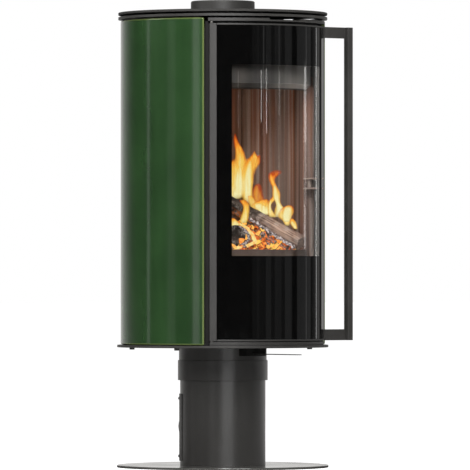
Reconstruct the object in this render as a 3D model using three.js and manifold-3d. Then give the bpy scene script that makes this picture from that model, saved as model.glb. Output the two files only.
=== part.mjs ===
// A round tiled stove on a swivel pedestal. Millimetres, +Z up, the door faces -Y.
// The origin is the middle of the floor plate's underside. Angles round the stove are in degrees,
// measured from the middle of the door towards +X.

import * as THREE from 'three';
import { mergeVertices } from 'three/addons/utils/BufferGeometryUtils.js';
import Module from 'manifold-3d';

const manifold = await Module();
manifold.setup();
const radians = THREE.MathUtils.degToRad;

// ---------------------------------------------------------------- driving dimensions

const SEAT_GAP = 0.3; // between pieces that rest on or in each other
const RUNNING_GAP = 1; // between pieces that move past each other
const FACET_ANGLE = 6; // degrees per facet on the large round pieces
const SMALL_FACET_ANGLE = 12; // on the small and hidden ones
const EDGE_CHAMFER = 1;
const CUTTER_REACH = 20; // of a cutting shape beyond the sheet that it cuts

// Pedestal
const FLOOR_PLATE_RADIUS = 259;
const FLOOR_PLATE_THICKNESS = 6;
const PEDESTAL_HEIGHT = 293.5; // floor to the underside of the bottom plate
const COLUMN_RADIUS = 104.5;
const COLUMN_WALL = 3;
const COVER_THICKNESS = 2;
const COVER_HEIGHT = 164;
const COVER_LIFT = 10; // above the floor plate
const COVER_HALF_ANGLE = 71;
const COVER_SCREW_RADIUS = 3.5;
const COVER_SCREW_HEAD = 2.6;
const COVER_SCREW_INSET = 11.5;
const COVER_SCREW_ANGLE = 52;
const SERVICE_HALF_WIDTH = 60; // half the opening in the column behind the cover
const SERVICE_MARGIN = 25;
const DUCT_RADIUS = 50;
const DUCT_WALL = 1.5;
const STUB_RADIUS = 40;
const STUB_STAND = 20; // behind the rear cover

// Swivel joint
const NECK_HEIGHT = 48.6;
const NECK_WALL = 3;
const COLLAR_CLEARANCE = 3.2;
const COLLAR_WALL = 2.3;
const COLLAR_HEIGHT = 49;
const COLLAR_DROP = 31.5; // from the bottom plate down to the collar's top
const TURNTABLE_THICKNESS = 8;
const SLIDE_RING_THICKNESS = 4;
const SLIDE_RING_INNER = 64;
const SLIDE_RING_WIDTH = 24;
const BEARING_PLATE_THICKNESS = 8;
const HUB_WALL = 6;
const RETAINING_RING_THICKNESS = 4;
const RETAINING_RING_WIDTH = 8;
const STOP_HALF_ANGLE = 4;
const SWIVEL_RANGE = 90; // each way
const STOP_MARGIN = 0.6; // degrees left between stop and lug at the end of the swivel

// Body
const BODY_RADIUS = 250;
const BOTTOM_PLATE_RADIUS = 258.5;
const PLATE_THICKNESS = 6;
const BOLT_CIRCLE_RADIUS = 222;
const BOLT_HEAD_RADIUS = 6.5;
const BOLT_HEAD_HEIGHT = 6;
const BOLT_ANGLES = [68, 128];
const TILE_HEIGHT = 789.5;
const TILE_THICKNESS = 11;
const TILE_SEAT = 1.5;
const TILE_EDGE_ROUND = 3;
const TILE_FRONT_ANGLE = 48.6;
const TILE_REAR_ANGLE = 147.4;
const BRACKET_INSET = 60; // tile blocks from the ends of the tiles
const REAR_PANEL_THICKNESS = 2;
const REAR_PANEL_JOINT = 0.6; // degrees between a tile and the rear panel
const REAR_SLOT_HALF_HEIGHT = 30;
const TOP_PLATE_RADIUS = 255.8;
const TOP_GAP = 3.5; // tiles to vent plate
const VENT_GAP = 5; // vent plate to top plate
const VENT_RIM_WIDTH = 16;
const VENT_HUB_RADIUS = 98;
const VENT_SPOKES = 6;
const VENT_SPOKE_WIDTH = 22;
const VENT_SPOKE_TURN = 33.5;
const VENT_POST_RADIUS = 190; // circle of the posts and spacers
const FLUE_RADIUS = 78.2;
const FLUE_WALL = 2;
const FLUE_STAND = 29; // above the top plate
const FLUE_RIM_ROUND = 4;
const FLUE_RIM_WIDTH = 10;
const SPACER_RADIUS = 8;

// Firebox
const CONVECTION_GAP = 11; // between the tiles and the firebox
const SHELL_WALL = 4;
const SHELL_FRONT_ANGLE = 47.5;
const FIREBOX_TOP_DROP = 30; // from the tile tops down to the firebox top's underside
const SILL_THICKNESS = 8.6;
const HEADER_THICKNESS = 7.5;
const HEADER_DROP = 1; // from the tile tops down to the header's top
const HEADER_HALF_ANGLE = 46.2; // it stands on the front frame, clear of the tiles
const HEADER_NOTCH_DEPTH = 3.7;
const HEADER_NOTCH_HALF_ANGLE = 11;
const JAMB_DEPTH = 15;
const JAMB_JOINT = 0.3; // degrees between jamb and tile
const FRAME_THICKNESS = 4;
const FIRE_OPENING_ANGLE = 37;
const FIRE_OPENING_BASE = 505;
const FIRE_OPENING_HEIGHT = 480;
const ASH_OPENING_ANGLE = 27;
const ASH_OPENING_HEIGHT = 84;
const ASH_SHELF_BASE = 376;
const FLOOR_BASE = 480;
const DECK_THICKNESS = 4; // ash shelf and firebox floor
const BRICK_THICKNESS = 28;
const FLOOR_BRICK_THICKNESS = 30;
const WALL_BRICK_HEIGHT = 416;
const BRICK_JOINT = 0.35; // degrees between wall bricks
const SIDE_BRICK_FRONT_ANGLE = 50.5;
const SIDE_BRICK_REAR_ANGLE = 128;
const BAFFLE_THICKNESS = 25;
const BAFFLE_FRONT = 118; // front edge of the lower baffle, forward of the axis
const UPPER_BAFFLE_THICKNESS = 4;
const UPPER_BAFFLE_LIFT = 42;
const GRATE_RADIUS = 89;
const GRATE_THICKNESS = 12;
const GRATE_SLOT_WIDTH = 9;
const GRATE_SLOT_PITCH = 20;
const ASH_PAN_WIDTH = 190;
const ASH_PAN_DEPTH = 250;
const ASH_PAN_HEIGHT = 58;
const ASH_PAN_WALL = 1.5;
const RETAINER_HEIGHT = 17;
const DEFLECTOR_DEPTH = 65; // from the top of the fire opening down
const DEFLECTOR_HALF_ANGLE = 41;
const RISER_DEPTH = 12;
const RISER_HALF_ANGLE = 12;
const RISER_WALL = 1.5;

// Air valve, box and lever
const VALVE_HALF_WIDTH = 62;
const VALVE_HALF_LENGTH = 76;
const VALVE_BORE_RADIUS = 40;
const LEVER_DROP = 16.5; // from the bottom plate's underside down to the lever's
const LEVER_THICKNESS = 2;
const LEVER_WIDTH = 20;
const LEVER_TIP = 302; // forward of the axis, pulled out
const LEVER_TRAVEL = 60;
const GATE_LENGTH = 28;
const GATE_MARGIN = 4; // from the bore to the gate when the valve is open
const GATE_HALF_WIDTH = 48;
const GUIDE_HALF_WIDTH = 30;
const GUIDE_DEPTH = 25;
const GUIDE_FLOOR = 3.5; // below the lever
const VALVE_FLOOR = 5; // below the lever
const AIR_BOX_HEIGHT = 40;
const AIR_BOX_WALL = 2;
const AIR_BOX_HALF_WIDTH = 100;
const AIR_BOX_FRONT = 70;
const AIR_BOX_REAR = 195;

// Door
const DOOR_HALF_ANGLE = 45.4;
const DOOR_HEIGHT = 766;
const DOOR_GAP = 1.9; // sill to door
const DOOR_DEPTH = 14;
const STILE_ANGLE = 4;
const GLASS_THICKNESS = 4;
const LIP_HEIGHT = 4;
const DOOR_FRAME_THICKNESS = 5.6;
const WINDOW_HALF_ANGLE = 33;
const WINDOW_BASE = 516;
const WINDOW_HEIGHT = 461;
const SEAL_WIDTH = 8;
const SEAL_MARGIN = 7; // from the fire opening to the seal
const PIN_RADIUS = 3;
const PIN_LENGTH = 12;
const PIN_SHOULDER_RADIUS = 4.6;
const PIN_INSET = 5; // pin axis behind the door's face
const PIN_ANGLE = 44.2;
const HANDLE_OUT = 4; // bar's middle beyond the body's radius
const HANDLE_TILE_GAP = 1.7; // from the front corner of the tile to the arms
const HANDLE_BAR_SIZE = 16;
const HANDLE_ARM_HEIGHT = 27;
const HANDLE_ARM_THICKNESS = 6;
const TONGUE_THICKNESS = 3;
const TONGUE_HEIGHT = 20;
const TONGUE_LENGTH = 22;
const TONGUE_ANGLE = 42.03;
const ROLLER_RADIUS = 6;
const ROLLER_REACH = 20; // from the door's inner face back to the roller
const LATCH_BRACKET_DEPTH = 29;
const LATCH_BRACKET_REACH = 10; // behind the middle of the roller
const LATCH_BRACKET_WALL = 4;
const LATCH_SLOT_MARGIN = 5; // above and below the tongue

// Fire
const LOG_RADIUS = 25;
const LEANING_LOG_RADIUS = 19.5;
const EMBER_RADIUS = 172;
const EMBER_CROWN = 20;

// ---------------------------------------------------------------- derived levels and radii

const floorTop = FLOOR_PLATE_THICKNESS;
const neckBase = PEDESTAL_HEIGHT - NECK_HEIGHT;
const slideRingBase = neckBase - SEAT_GAP - SLIDE_RING_THICKNESS;
const bearingBase = slideRingBase - SEAT_GAP - BEARING_PLATE_THICKNESS;
const columnBase = floorTop + SEAT_GAP;
const columnTop = bearingBase - SEAT_GAP;
const stubHeight = floorTop + COVER_LIFT + COVER_HEIGHT / 2;
const collarTop = PEDESTAL_HEIGHT - COLLAR_DROP;
const collarInner = COLUMN_RADIUS + COLLAR_CLEARANCE;
const neckOuter = collarInner - SEAT_GAP;
const neckInner = neckOuter - NECK_WALL;
const hubInner = DUCT_RADIUS + RUNNING_GAP;
const hubOuter = hubInner + HUB_WALL;
const turntableTop = neckBase + TURNTABLE_THICKNESS;
const retainingRingBase = turntableTop + RUNNING_GAP;
const hubTop = retainingRingBase + RETAINING_RING_THICKNESS;

const bodyBase = PEDESTAL_HEIGHT + PLATE_THICKNESS;
const tileBase = bodyBase + TILE_SEAT;
const tileTop = tileBase + TILE_HEIGHT;
const tileInner = BODY_RADIUS - TILE_THICKNESS;
const ventPlateBase = tileTop + TOP_GAP;
const topPlateBase = ventPlateBase + PLATE_THICKNESS + VENT_GAP;
const topPlateTop = topPlateBase + PLATE_THICKNESS;
const flueTop = topPlateTop + FLUE_STAND;

const shellOuter = tileInner - CONVECTION_GAP;
const shellInner = shellOuter - SHELL_WALL;
const shellBase = bodyBase + SEAT_GAP;
const fireboxTopBase = tileTop - FIREBOX_TOP_DROP;
const shellTop = fireboxTopBase - SEAT_GAP;
const fireboxTopTop = fireboxTopBase + PLATE_THICKNESS;
const frameInner = shellOuter + RUNNING_GAP;
const frameOuter = frameInner + FRAME_THICKNESS;
const jambOuter = shellInner + JAMB_DEPTH;
const jambRear = TILE_FRONT_ANGLE - JAMB_JOINT;
const jambFront = DOOR_HALF_ANGLE + 2 * JAMB_JOINT;
const sillTop = shellBase + SILL_THICKNESS;
const headerTop = tileTop - HEADER_DROP;
const headerBase = headerTop - HEADER_THICKNESS;
const fireOpeningTop = FIRE_OPENING_BASE + FIRE_OPENING_HEIGHT;
const ashShelfTop = ASH_SHELF_BASE + DECK_THICKNESS;
const floorDeckTop = FLOOR_BASE + DECK_THICKNESS;
const deckRadius = shellInner - SEAT_GAP;
const brickOuter = deckRadius - SEAT_GAP;
const brickInner = brickOuter - BRICK_THICKNESS;
const hearthTop = floorDeckTop + SEAT_GAP + FLOOR_BRICK_THICKNESS;
const wallBrickBase = hearthTop + SEAT_GAP;
const wallBrickTop = wallBrickBase + WALL_BRICK_HEIGHT;
const baffleBase = wallBrickTop + SEAT_GAP;
const upperBaffleBase = baffleBase + BAFFLE_THICKNESS + UPPER_BAFFLE_LIFT;

const doorBase = sillTop + DOOR_GAP;
const doorTop = doorBase + DOOR_HEIGHT;
const doorInner = BODY_RADIUS - DOOR_DEPTH;
const glassAngle = DOOR_HALF_ANGLE - STILE_ANGLE - 0.1;
const glassInner = BODY_RADIUS - GLASS_THICKNESS;
const glassBase = doorBase + LIP_HEIGHT + SEAT_GAP;
const glassTop = doorTop - LIP_HEIGHT - SEAT_GAP;
const doorFrameOuter = glassInner - SEAT_GAP;
const doorFrameInner = doorFrameOuter - DOOR_FRAME_THICKNESS;
const pinCircle = BODY_RADIUS - PIN_INSET;
const handleX = BODY_RADIUS + HANDLE_OUT;
const armRear = -BODY_RADIUS * Math.cos(radians(TILE_FRONT_ANGLE)) - HANDLE_TILE_GAP;
const handleY = armRear - HANDLE_BAR_SIZE / 2;
const tongueX = doorInner * Math.sin(radians(TONGUE_ANGLE));
const tongueRoot = -Math.sqrt((doorInner - SEAT_GAP) ** 2 - (tongueX + TONGUE_THICKNESS) ** 2) + SEAT_GAP;
const rollerY = tongueRoot + ROLLER_REACH;
const leverBase = PEDESTAL_HEIGHT - LEVER_DROP;
const guideBase = leverBase - GUIDE_FLOOR;
const gateTop = leverBase + LEVER_THICKNESS;
const gateRear = -VALVE_BORE_RADIUS - GATE_MARGIN;
const gateFront = gateRear - GATE_LENGTH;

// ---------------------------------------------------------------- geometry helpers

// A point at a radius and an angle from the middle of the door.
const around = (radius, angle) => [radius * Math.sin(radians(angle)), -radius * Math.cos(radians(angle))];

function signedVolume(position, index) {
  const [a, b, c] = [new THREE.Vector3(), new THREE.Vector3(), new THREE.Vector3()];
  let volume = 0;
  for (let i = 0; i < index.length; i += 3) {
    a.fromBufferAttribute(position, index[i]);
    b.fromBufferAttribute(position, index[i + 1]);
    c.fromBufferAttribute(position, index[i + 2]);
    volume += a.dot(b.cross(c)) / 6;
  }
  return volume;
}

// One closed body: shared corners merged, empty triangles dropped, every face turned outwards.
function closed(source) {
  const geometry = source.clone();
  geometry.deleteAttribute('normal');
  geometry.deleteAttribute('uv');
  const merged = mergeVertices(geometry, 1e-3);
  const corners = merged.index.array;
  const faces = [];
  for (let i = 0; i < corners.length; i += 3) {
    const [a, b, c] = corners.subarray(i, i + 3);
    if (a !== b && b !== c && c !== a) faces.push([a, b, c]);
  }
  const inward = signedVolume(merged.attributes.position, faces.flat()) < 0;
  merged.setIndex(faces.flatMap(([a, b, c]) => (inward ? [a, c, b] : [a, b, c])));
  return merged;
}

function toSolid(geometry) {
  const body = closed(geometry);
  return new manifold.Manifold(new manifold.Mesh({
    numProp: 3,
    vertProperties: new Float32Array(body.attributes.position.array),
    triVerts: new Uint32Array(body.index.array),
  }));
}

function fromSolid(solid) {
  const mesh = solid.getMesh();
  const geometry = new THREE.BufferGeometry();
  geometry.setAttribute('position', new THREE.BufferAttribute(new Float32Array(mesh.vertProperties), 3));
  geometry.setIndex(new THREE.BufferAttribute(new Uint32Array(mesh.triVerts), 1));
  return geometry;
}

const join = (first, ...others) =>
  fromSolid(others.reduce((solid, other) => solid.add(toSolid(other)), toSolid(first)));
const cut = (body, ...tools) =>
  fromSolid(tools.reduce((solid, tool) => solid.subtract(toSolid(tool)), toSolid(body)));
const overlapOf = (first, second) => fromSolid(toSolid(first).intersect(toSolid(second)));

const facets = (angle) => Math.ceil(Math.abs(angle) / FACET_ANGLE / 2);

// A curved plate or bar standing on z = 0, between two radii and two angles, its edges rounded if asked.
function curvedBar(inner, outer, fromAngle, toAngle, height, round = 0) {
  const start = radians(fromAngle - 90);
  const end = radians(toAngle - 90);
  const plan = new THREE.Shape();
  plan.absarc(0, 0, outer, start, end, false);
  plan.absarc(0, 0, inner, end, start, true);
  const geometry = new THREE.ExtrudeGeometry(plan, {
    depth: height - 2 * round,
    curveSegments: facets(toAngle - fromAngle),
    bevelEnabled: round > 0,
    bevelThickness: round,
    bevelSize: round,
    bevelOffset: -round,
    bevelSegments: 2,
  });
  return geometry.translate(0, 0, round);
}

// A turned piece: profile points are [radius, height].
function turned(profile, step = FACET_ANGLE) {
  const points = profile.map(([radius, height]) => new THREE.Vector2(radius, height));
  const geometry = new THREE.LatheGeometry([...points, points[0]], Math.round(360 / step));
  return geometry.rotateX(Math.PI / 2);
}

// A flat ring with small chamfers on its outer edges; an inner radius of 0 gives a disc.
function ring(inner, outer, height, chamfer = 0, step = FACET_ANGLE) {
  const c = chamfer;
  const outside = c ? [[outer - c, 0], [outer, c], [outer, height - c], [outer - c, height]]
    : [[outer, 0], [outer, height]];
  return turned([[inner, 0], ...outside, [inner, height]], step);
}

// A turned profile kept only between two angles.
function turnedSector(profile, fromAngle, toAngle, reach) {
  const wedge = curvedBar(1, reach, fromAngle, toAngle, reach * 20).translate(0, 0, -reach * 10);
  return overlapOf(turned(profile), wedge);
}

const box = (x0, x1, y0, y1, z0, z1) =>
  new THREE.BoxGeometry(x1 - x0, y1 - y0, z1 - z0).translate((x0 + x1) / 2, (y0 + y1) / 2, (z0 + z1) / 2);

const post = (radius, height, sides = 16) =>
  new THREE.CylinderGeometry(radius, radius, height, sides).rotateX(Math.PI / 2).translate(0, 0, height / 2);

const at = (geometry, [x, y], z = 0) => geometry.translate(x, y, z);

// A round bar lying along +Y between two distances from the axis.
const rearwardPost = (radius, from, to) =>
  new THREE.CylinderGeometry(radius, radius, to - from, 24).translate(0, (from + to) / 2, 0);

function node(name, geometry, color, roughness = 0.6, metalness = 0.5, z = 0) {
  const body = closed(geometry);
  body.computeVertexNormals();
  const mesh = new THREE.Mesh(body, new THREE.MeshStandardMaterial({ color, roughness, metalness }));
  mesh.name = name;
  mesh.position.z = z;
  return mesh;
}

const ANTHRACITE = 0x3a3836;
const BARE_STEEL = 0x77756f;
const VERMICULITE = 0x9a7a60;
const GLAZE = 0x2c4a25;
const BARK = 0x3c2a20;

// ---------------------------------------------------------------- pedestal

function floorPlate() {
  const plate = ring(0, FLOOR_PLATE_RADIUS, FLOOR_PLATE_THICKNESS, EDGE_CHAMFER);
  return node('floor_plate', plate, ANTHRACITE);
}

// The column is open at the back, behind its cover, so that the duct can be reached.
function columnTube() {
  const height = columnTop - columnBase;
  const tube = ring(COLUMN_RADIUS - COLUMN_WALL, COLUMN_RADIUS, height);
  const service = box(-SERVICE_HALF_WIDTH, SERVICE_HALF_WIDTH, 0, COLUMN_RADIUS * 2,
    COVER_LIFT + SERVICE_MARGIN, COVER_LIFT + COVER_HEIGHT - SERVICE_MARGIN);
  return node('column_tube', cut(tube, service), ANTHRACITE, 0.6, 0.5, columnBase);
}

// A half-round sheet with four pan-head screws, two near each edge, and a hole for the air stub.
function columnRearCover() {
  const inner = COLUMN_RADIUS + SEAT_GAP;
  const face = inner + COVER_THICKNESS;
  const sheet = curvedBar(inner, face, 180 - COVER_HALF_ANGLE, 180 + COVER_HALF_ANGLE, COVER_HEIGHT);
  const heads = [];
  for (const side of [-1, 1]) {
    for (const height of [COVER_SCREW_INSET, COVER_HEIGHT - COVER_SCREW_INSET]) {
      heads.push(new THREE.CylinderGeometry(COVER_SCREW_RADIUS * 0.7, COVER_SCREW_RADIUS,
        COVER_SCREW_HEAD + COVER_THICKNESS / 2, 10)
        .translate(0, face + (COVER_SCREW_HEAD - COVER_THICKNESS / 2) / 2, 0)
        .rotateZ(radians(side * COVER_SCREW_ANGLE))
        .translate(0, 0, height));
    }
  }
  const stubHole = rearwardPost(STUB_RADIUS + RUNNING_GAP, COLUMN_RADIUS / 2, face * 2)
    .translate(0, 0, stubHeight - floorTop - COVER_LIFT);
  return node('column_rear_cover', join(cut(sheet, stubHole), ...heads), ANTHRACITE, 0.6, 0.5,
    floorTop + COVER_LIFT);
}

// A plate with a hub, welded on the column. A block on the plate limits the swivel.
function bearingHub() {
  const plate = ring(hubInner, COLUMN_RADIUS, BEARING_PLATE_THICKNESS, 0, SMALL_FACET_ANGLE);
  const hub = ring(hubInner, hubOuter, hubTop - bearingBase, 0, SMALL_FACET_ANGLE);
  const stop = curvedBar(SLIDE_RING_INNER + SLIDE_RING_WIDTH + RUNNING_GAP, COLUMN_RADIUS - RUNNING_GAP,
    -STOP_HALF_ANGLE, STOP_HALF_ANGLE, slideRingBase - bearingBase + SLIDE_RING_THICKNESS / 2);
  return node('bearing_hub', join(plate, hub, stop), BARE_STEEL, 0.4, 0.8, bearingBase);
}

function slideRing() {
  const outer = SLIDE_RING_INNER + SLIDE_RING_WIDTH;
  const washer = ring(SLIDE_RING_INNER, outer, SLIDE_RING_THICKNESS, 0, SMALL_FACET_ANGLE);
  return node('slide_ring', washer, 0xb08a4a, 0.35, 0.8, slideRingBase);
}

// Holds the stove down on the hub.
function retainingRing() {
  const inner = hubOuter + SEAT_GAP;
  const washer = ring(inner, inner + RETAINING_RING_WIDTH, RETAINING_RING_THICKNESS, 0, SMALL_FACET_ANGLE);
  return node('retaining_ring', washer, BARE_STEEL, 0.4, 0.8, retainingRingBase);
}

// The combustion air comes in at the back, through a stub, and rises through the hub.
function airDuct() {
  const base = floorTop + SEAT_GAP;
  const height = hubTop - SEAT_GAP - base;
  const pipe = ring(0, DUCT_RADIUS, height, 0, SMALL_FACET_ANGLE);
  const bore = ring(0, DUCT_RADIUS - DUCT_WALL, height, 0, SMALL_FACET_ANGLE).translate(0, 0, DUCT_WALL);
  const end = COLUMN_RADIUS + COVER_THICKNESS + STUB_STAND;
  const stub = rearwardPost(STUB_RADIUS, 0, end).translate(0, 0, stubHeight - base);
  const stubBore = rearwardPost(STUB_RADIUS - DUCT_WALL, 0, end + 1).translate(0, 0, stubHeight - base);
  return node('air_duct', cut(join(pipe, stub), bore, stubBore), BARE_STEEL, 0.4, 0.8, base);
}

function makePedestal() {
  const pedestal = new THREE.Group();
  pedestal.add(floorPlate(), columnTube(), columnRearCover());
  pedestal.add(bearingHub(), slideRing(), retainingRing(), airDuct());
  return pedestal;
}

// ---------------------------------------------------------------- swivel carrier and bottom plate

function swivelCollar() {
  const sleeve = ring(collarInner, collarInner + COLLAR_WALL, COLLAR_HEIGHT);
  return node('swivel_collar', sleeve, ANTHRACITE, 0.6, 0.5, collarTop - COLLAR_HEIGHT);
}

// The neck has a slot at the front for the air lever.
function neckTube() {
  const tube = ring(neckInner, neckOuter, NECK_HEIGHT - SEAT_GAP);
  const slot = box(-LEVER_WIDTH, LEVER_WIDTH, -neckOuter - 5, 0,
    leverBase - 3 - neckBase, gateTop + 3 - neckBase);
  return node('neck_tube', cut(tube, slot), ANTHRACITE, 0.6, 0.5, neckBase);
}

// The turntable slides on the ring. Its two lugs meet the block of the hub at the ends of the swivel.
function turntableRing() {
  const disc = ring(hubOuter + RUNNING_GAP, neckInner - SEAT_GAP, TURNTABLE_THICKNESS, 0, SMALL_FACET_ANGLE);
  const lugAngle = SWIVEL_RANGE + 2 * STOP_HALF_ANGLE + STOP_MARGIN;
  const lugInner = SLIDE_RING_INNER + SLIDE_RING_WIDTH + RUNNING_GAP;
  const lugDepth = SLIDE_RING_THICKNESS - RUNNING_GAP;
  const lugs = [-lugAngle, lugAngle].map((angle) =>
    curvedBar(lugInner, neckInner - 2 * RUNNING_GAP, angle - STOP_HALF_ANGLE, angle + STOP_HALF_ANGLE,
      lugDepth + 1).translate(0, 0, -lugDepth));
  return node('turntable_ring', join(disc, ...lugs), BARE_STEEL, 0.4, 0.8, neckBase);
}

// The body's floor, with the heads of its four bolts under it.
function bottomPlate() {
  const plate = ring(0, BOTTOM_PLATE_RADIUS, PLATE_THICKNESS, EDGE_CHAMFER);
  const airHole = post(VALVE_BORE_RADIUS, PLATE_THICKNESS + 2, 40).translate(0, 0, -1);
  const heads = [-1, 1].flatMap((side) => BOLT_ANGLES.map((angle) =>
    at(post(BOLT_HEAD_RADIUS, BOLT_HEAD_HEIGHT + PLATE_THICKNESS / 2, 6),
      around(BOLT_CIRCLE_RADIUS, side * angle), -BOLT_HEAD_HEIGHT)));
  return node('bottom_plate', join(cut(plate, airHole), ...heads), ANTHRACITE, 0.6, 0.5, PEDESTAL_HEIGHT);
}

function makeCarrier() {
  const carrier = new THREE.Group();
  carrier.add(swivelCollar(), neckTube(), turntableRing(), bottomPlate());
  return carrier;
}

// ---------------------------------------------------------------- cladding

function tile(name, side) {
  const [from, to] = side > 0 ? [TILE_FRONT_ANGLE, TILE_REAR_ANGLE] : [-TILE_REAR_ANGLE, -TILE_FRONT_ANGLE];
  const shell = curvedBar(tileInner, BODY_RADIUS, from, to, TILE_HEIGHT, TILE_EDGE_ROUND);
  return node(name, shell, GLAZE, 0.2, 0, tileBase);
}

// The rear panel closes the body between the tiles. Rows of slots let room air in and out.
function rearPanel() {
  const halfAngle = 180 - TILE_REAR_ANGLE - REAR_PANEL_JOINT;
  const outer = BODY_RADIUS - 1;
  const sheet = curvedBar(outer - REAR_PANEL_THICKNESS, outer, 180 - halfAngle, 180 + halfAngle,
    tileTop - shellBase);
  const slots = [];
  for (let column = -3; column <= 3; column += 1) {
    for (const height of [TILE_HEIGHT * 0.1, TILE_HEIGHT * 0.9]) {
      slots.push(box(-4, 4, outer - CUTTER_REACH, outer + CUTTER_REACH, -REAR_SLOT_HALF_HEIGHT,
        REAR_SLOT_HALF_HEIGHT)
        .rotateZ(radians(column * 6))
        .translate(0, 0, height));
    }
  }
  return node('rear_panel', cut(sheet, ...slots), ANTHRACITE, 0.6, 0.5, shellBase);
}

// Places of the posts and spacers, on every second spoke of the vent plate.
function spokePlaces() {
  const turns = [1, 3, 5].map((i) => VENT_SPOKE_TURN + (i * 360) / VENT_SPOKES);
  return turns.map((turn) => around(VENT_POST_RADIUS, turn));
}

// A wheel of steel: warm air rises through its windows. Spacers on its spokes carry the top plate.
function ventPlate() {
  const plate = ring(FLUE_RADIUS + RUNNING_GAP, TOP_PLATE_RADIUS, PLATE_THICKNESS);
  const windows = ring(VENT_HUB_RADIUS, TOP_PLATE_RADIUS - VENT_RIM_WIDTH, PLATE_THICKNESS + 2)
    .translate(0, 0, -1);
  const spokes = [];
  for (let i = 0; i < VENT_SPOKES / 2; i += 1) {
    const half = VENT_SPOKE_WIDTH / 2;
    const reach = TOP_PLATE_RADIUS - EDGE_CHAMFER;
    spokes.push(box(-half, half, -reach, reach, -1.5, PLATE_THICKNESS + 1.5)
      .rotateZ(radians(VENT_SPOKE_TURN + (i * 360) / VENT_SPOKES)));
  }
  const spacers = spokePlaces().map((place) =>
    at(post(SPACER_RADIUS, VENT_GAP - SEAT_GAP + 1), place, PLATE_THICKNESS - 1));
  return node('vent_plate', join(cut(plate, cut(windows, ...spokes)), ...spacers), ANTHRACITE, 0.6, 0.5,
    ventPlateBase);
}

function topPlate() {
  const plate = ring(FLUE_RADIUS + RUNNING_GAP, TOP_PLATE_RADIUS, PLATE_THICKNESS, EDGE_CHAMFER);
  return node('top_plate', plate, ANTHRACITE, 0.6, 0.5, topPlateBase);
}

// The flue collar stands on the firebox top and passes through both plates. Its rim is rounded and turned
// in.
function flueCollar() {
  const base = fireboxTopTop + SEAT_GAP;
  const height = flueTop - base;
  const inner = FLUE_RADIUS - FLUE_WALL;
  const round = FLUE_RIM_ROUND;
  const rim = [0, 45, 90].map((angle) => [
    FLUE_RADIUS - round + round * Math.cos(radians(angle)),
    height - round + round * Math.sin(radians(angle)),
  ]);
  const mouth = FLUE_RADIUS - FLUE_RIM_WIDTH;
  const profile = [[inner, 0], [FLUE_RADIUS, 0], ...rim, [mouth, height], [mouth, height - FLUE_WALL],
    [inner, height - FLUE_RIM_WIDTH]];
  return node('flue_collar', turned(profile, FACET_ANGLE * 1.5), ANTHRACITE, 0.6, 0.5, base);
}

function makeCladding() {
  const cladding = new THREE.Group();
  cladding.add(tile('left_tile', -1), tile('right_tile', 1), rearPanel());
  cladding.add(ventPlate(), topPlate(), flueCollar());
  return cladding;
}

// ---------------------------------------------------------------- firebox carcass

// The welded steel body round the fire, with lugs inside for the upper baffle and blocks outside for the
// tiles.
function fireboxShell() {
  const wall = curvedBar(shellInner, shellOuter, SHELL_FRONT_ANGLE, 360 - SHELL_FRONT_ANGLE,
    shellTop - shellBase);
  const airIn = box(-35, 35, 0, shellOuter * 2, 8, 8 + AIR_BOX_HEIGHT - 16);
  const airOut = box(-35, 35, 0, shellOuter * 2, 690, 715);
  const rests = [-120, -70, 70, 120].map((angle) =>
    curvedBar(brickInner + 10, shellInner + 1, angle - 3, angle + 3, 10)
      .translate(0, 0, upperBaffleBase - SEAT_GAP - 10 - shellBase));
  const blocks = [];
  for (const angle of [TILE_FRONT_ANGLE + 10, TILE_REAR_ANGLE - 10]) {
    for (const centre of [angle, 360 - angle]) {
      for (const height of [BRACKET_INSET, TILE_HEIGHT - BRACKET_INSET * 2]) {
        blocks.push(curvedBar(shellOuter - 1, tileInner - 2 * SEAT_GAP, centre - 3, centre + 3, 30)
          .translate(0, 0, height));
      }
    }
  }
  return node('firebox_shell', join(cut(wall, airIn, airOut), ...rests, ...blocks), ANTHRACITE, 0.7, 0.4,
    shellBase);
}

// The firebox's lid, with welded posts that carry the vent plate.
function fireboxTop() {
  const plate = ring(FLUE_RADIUS - FLUE_WALL, shellOuter, PLATE_THICKNESS, 0, FACET_ANGLE * 1.5);
  const posts = spokePlaces().map((place) =>
    at(post(SPACER_RADIUS, ventPlateBase - fireboxTopTop - SEAT_GAP + 1), place, PLATE_THICKNESS - 1));
  return node('firebox_top', join(plate, ...posts), ANTHRACITE, 0.7, 0.4, fireboxTopBase);
}

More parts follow.
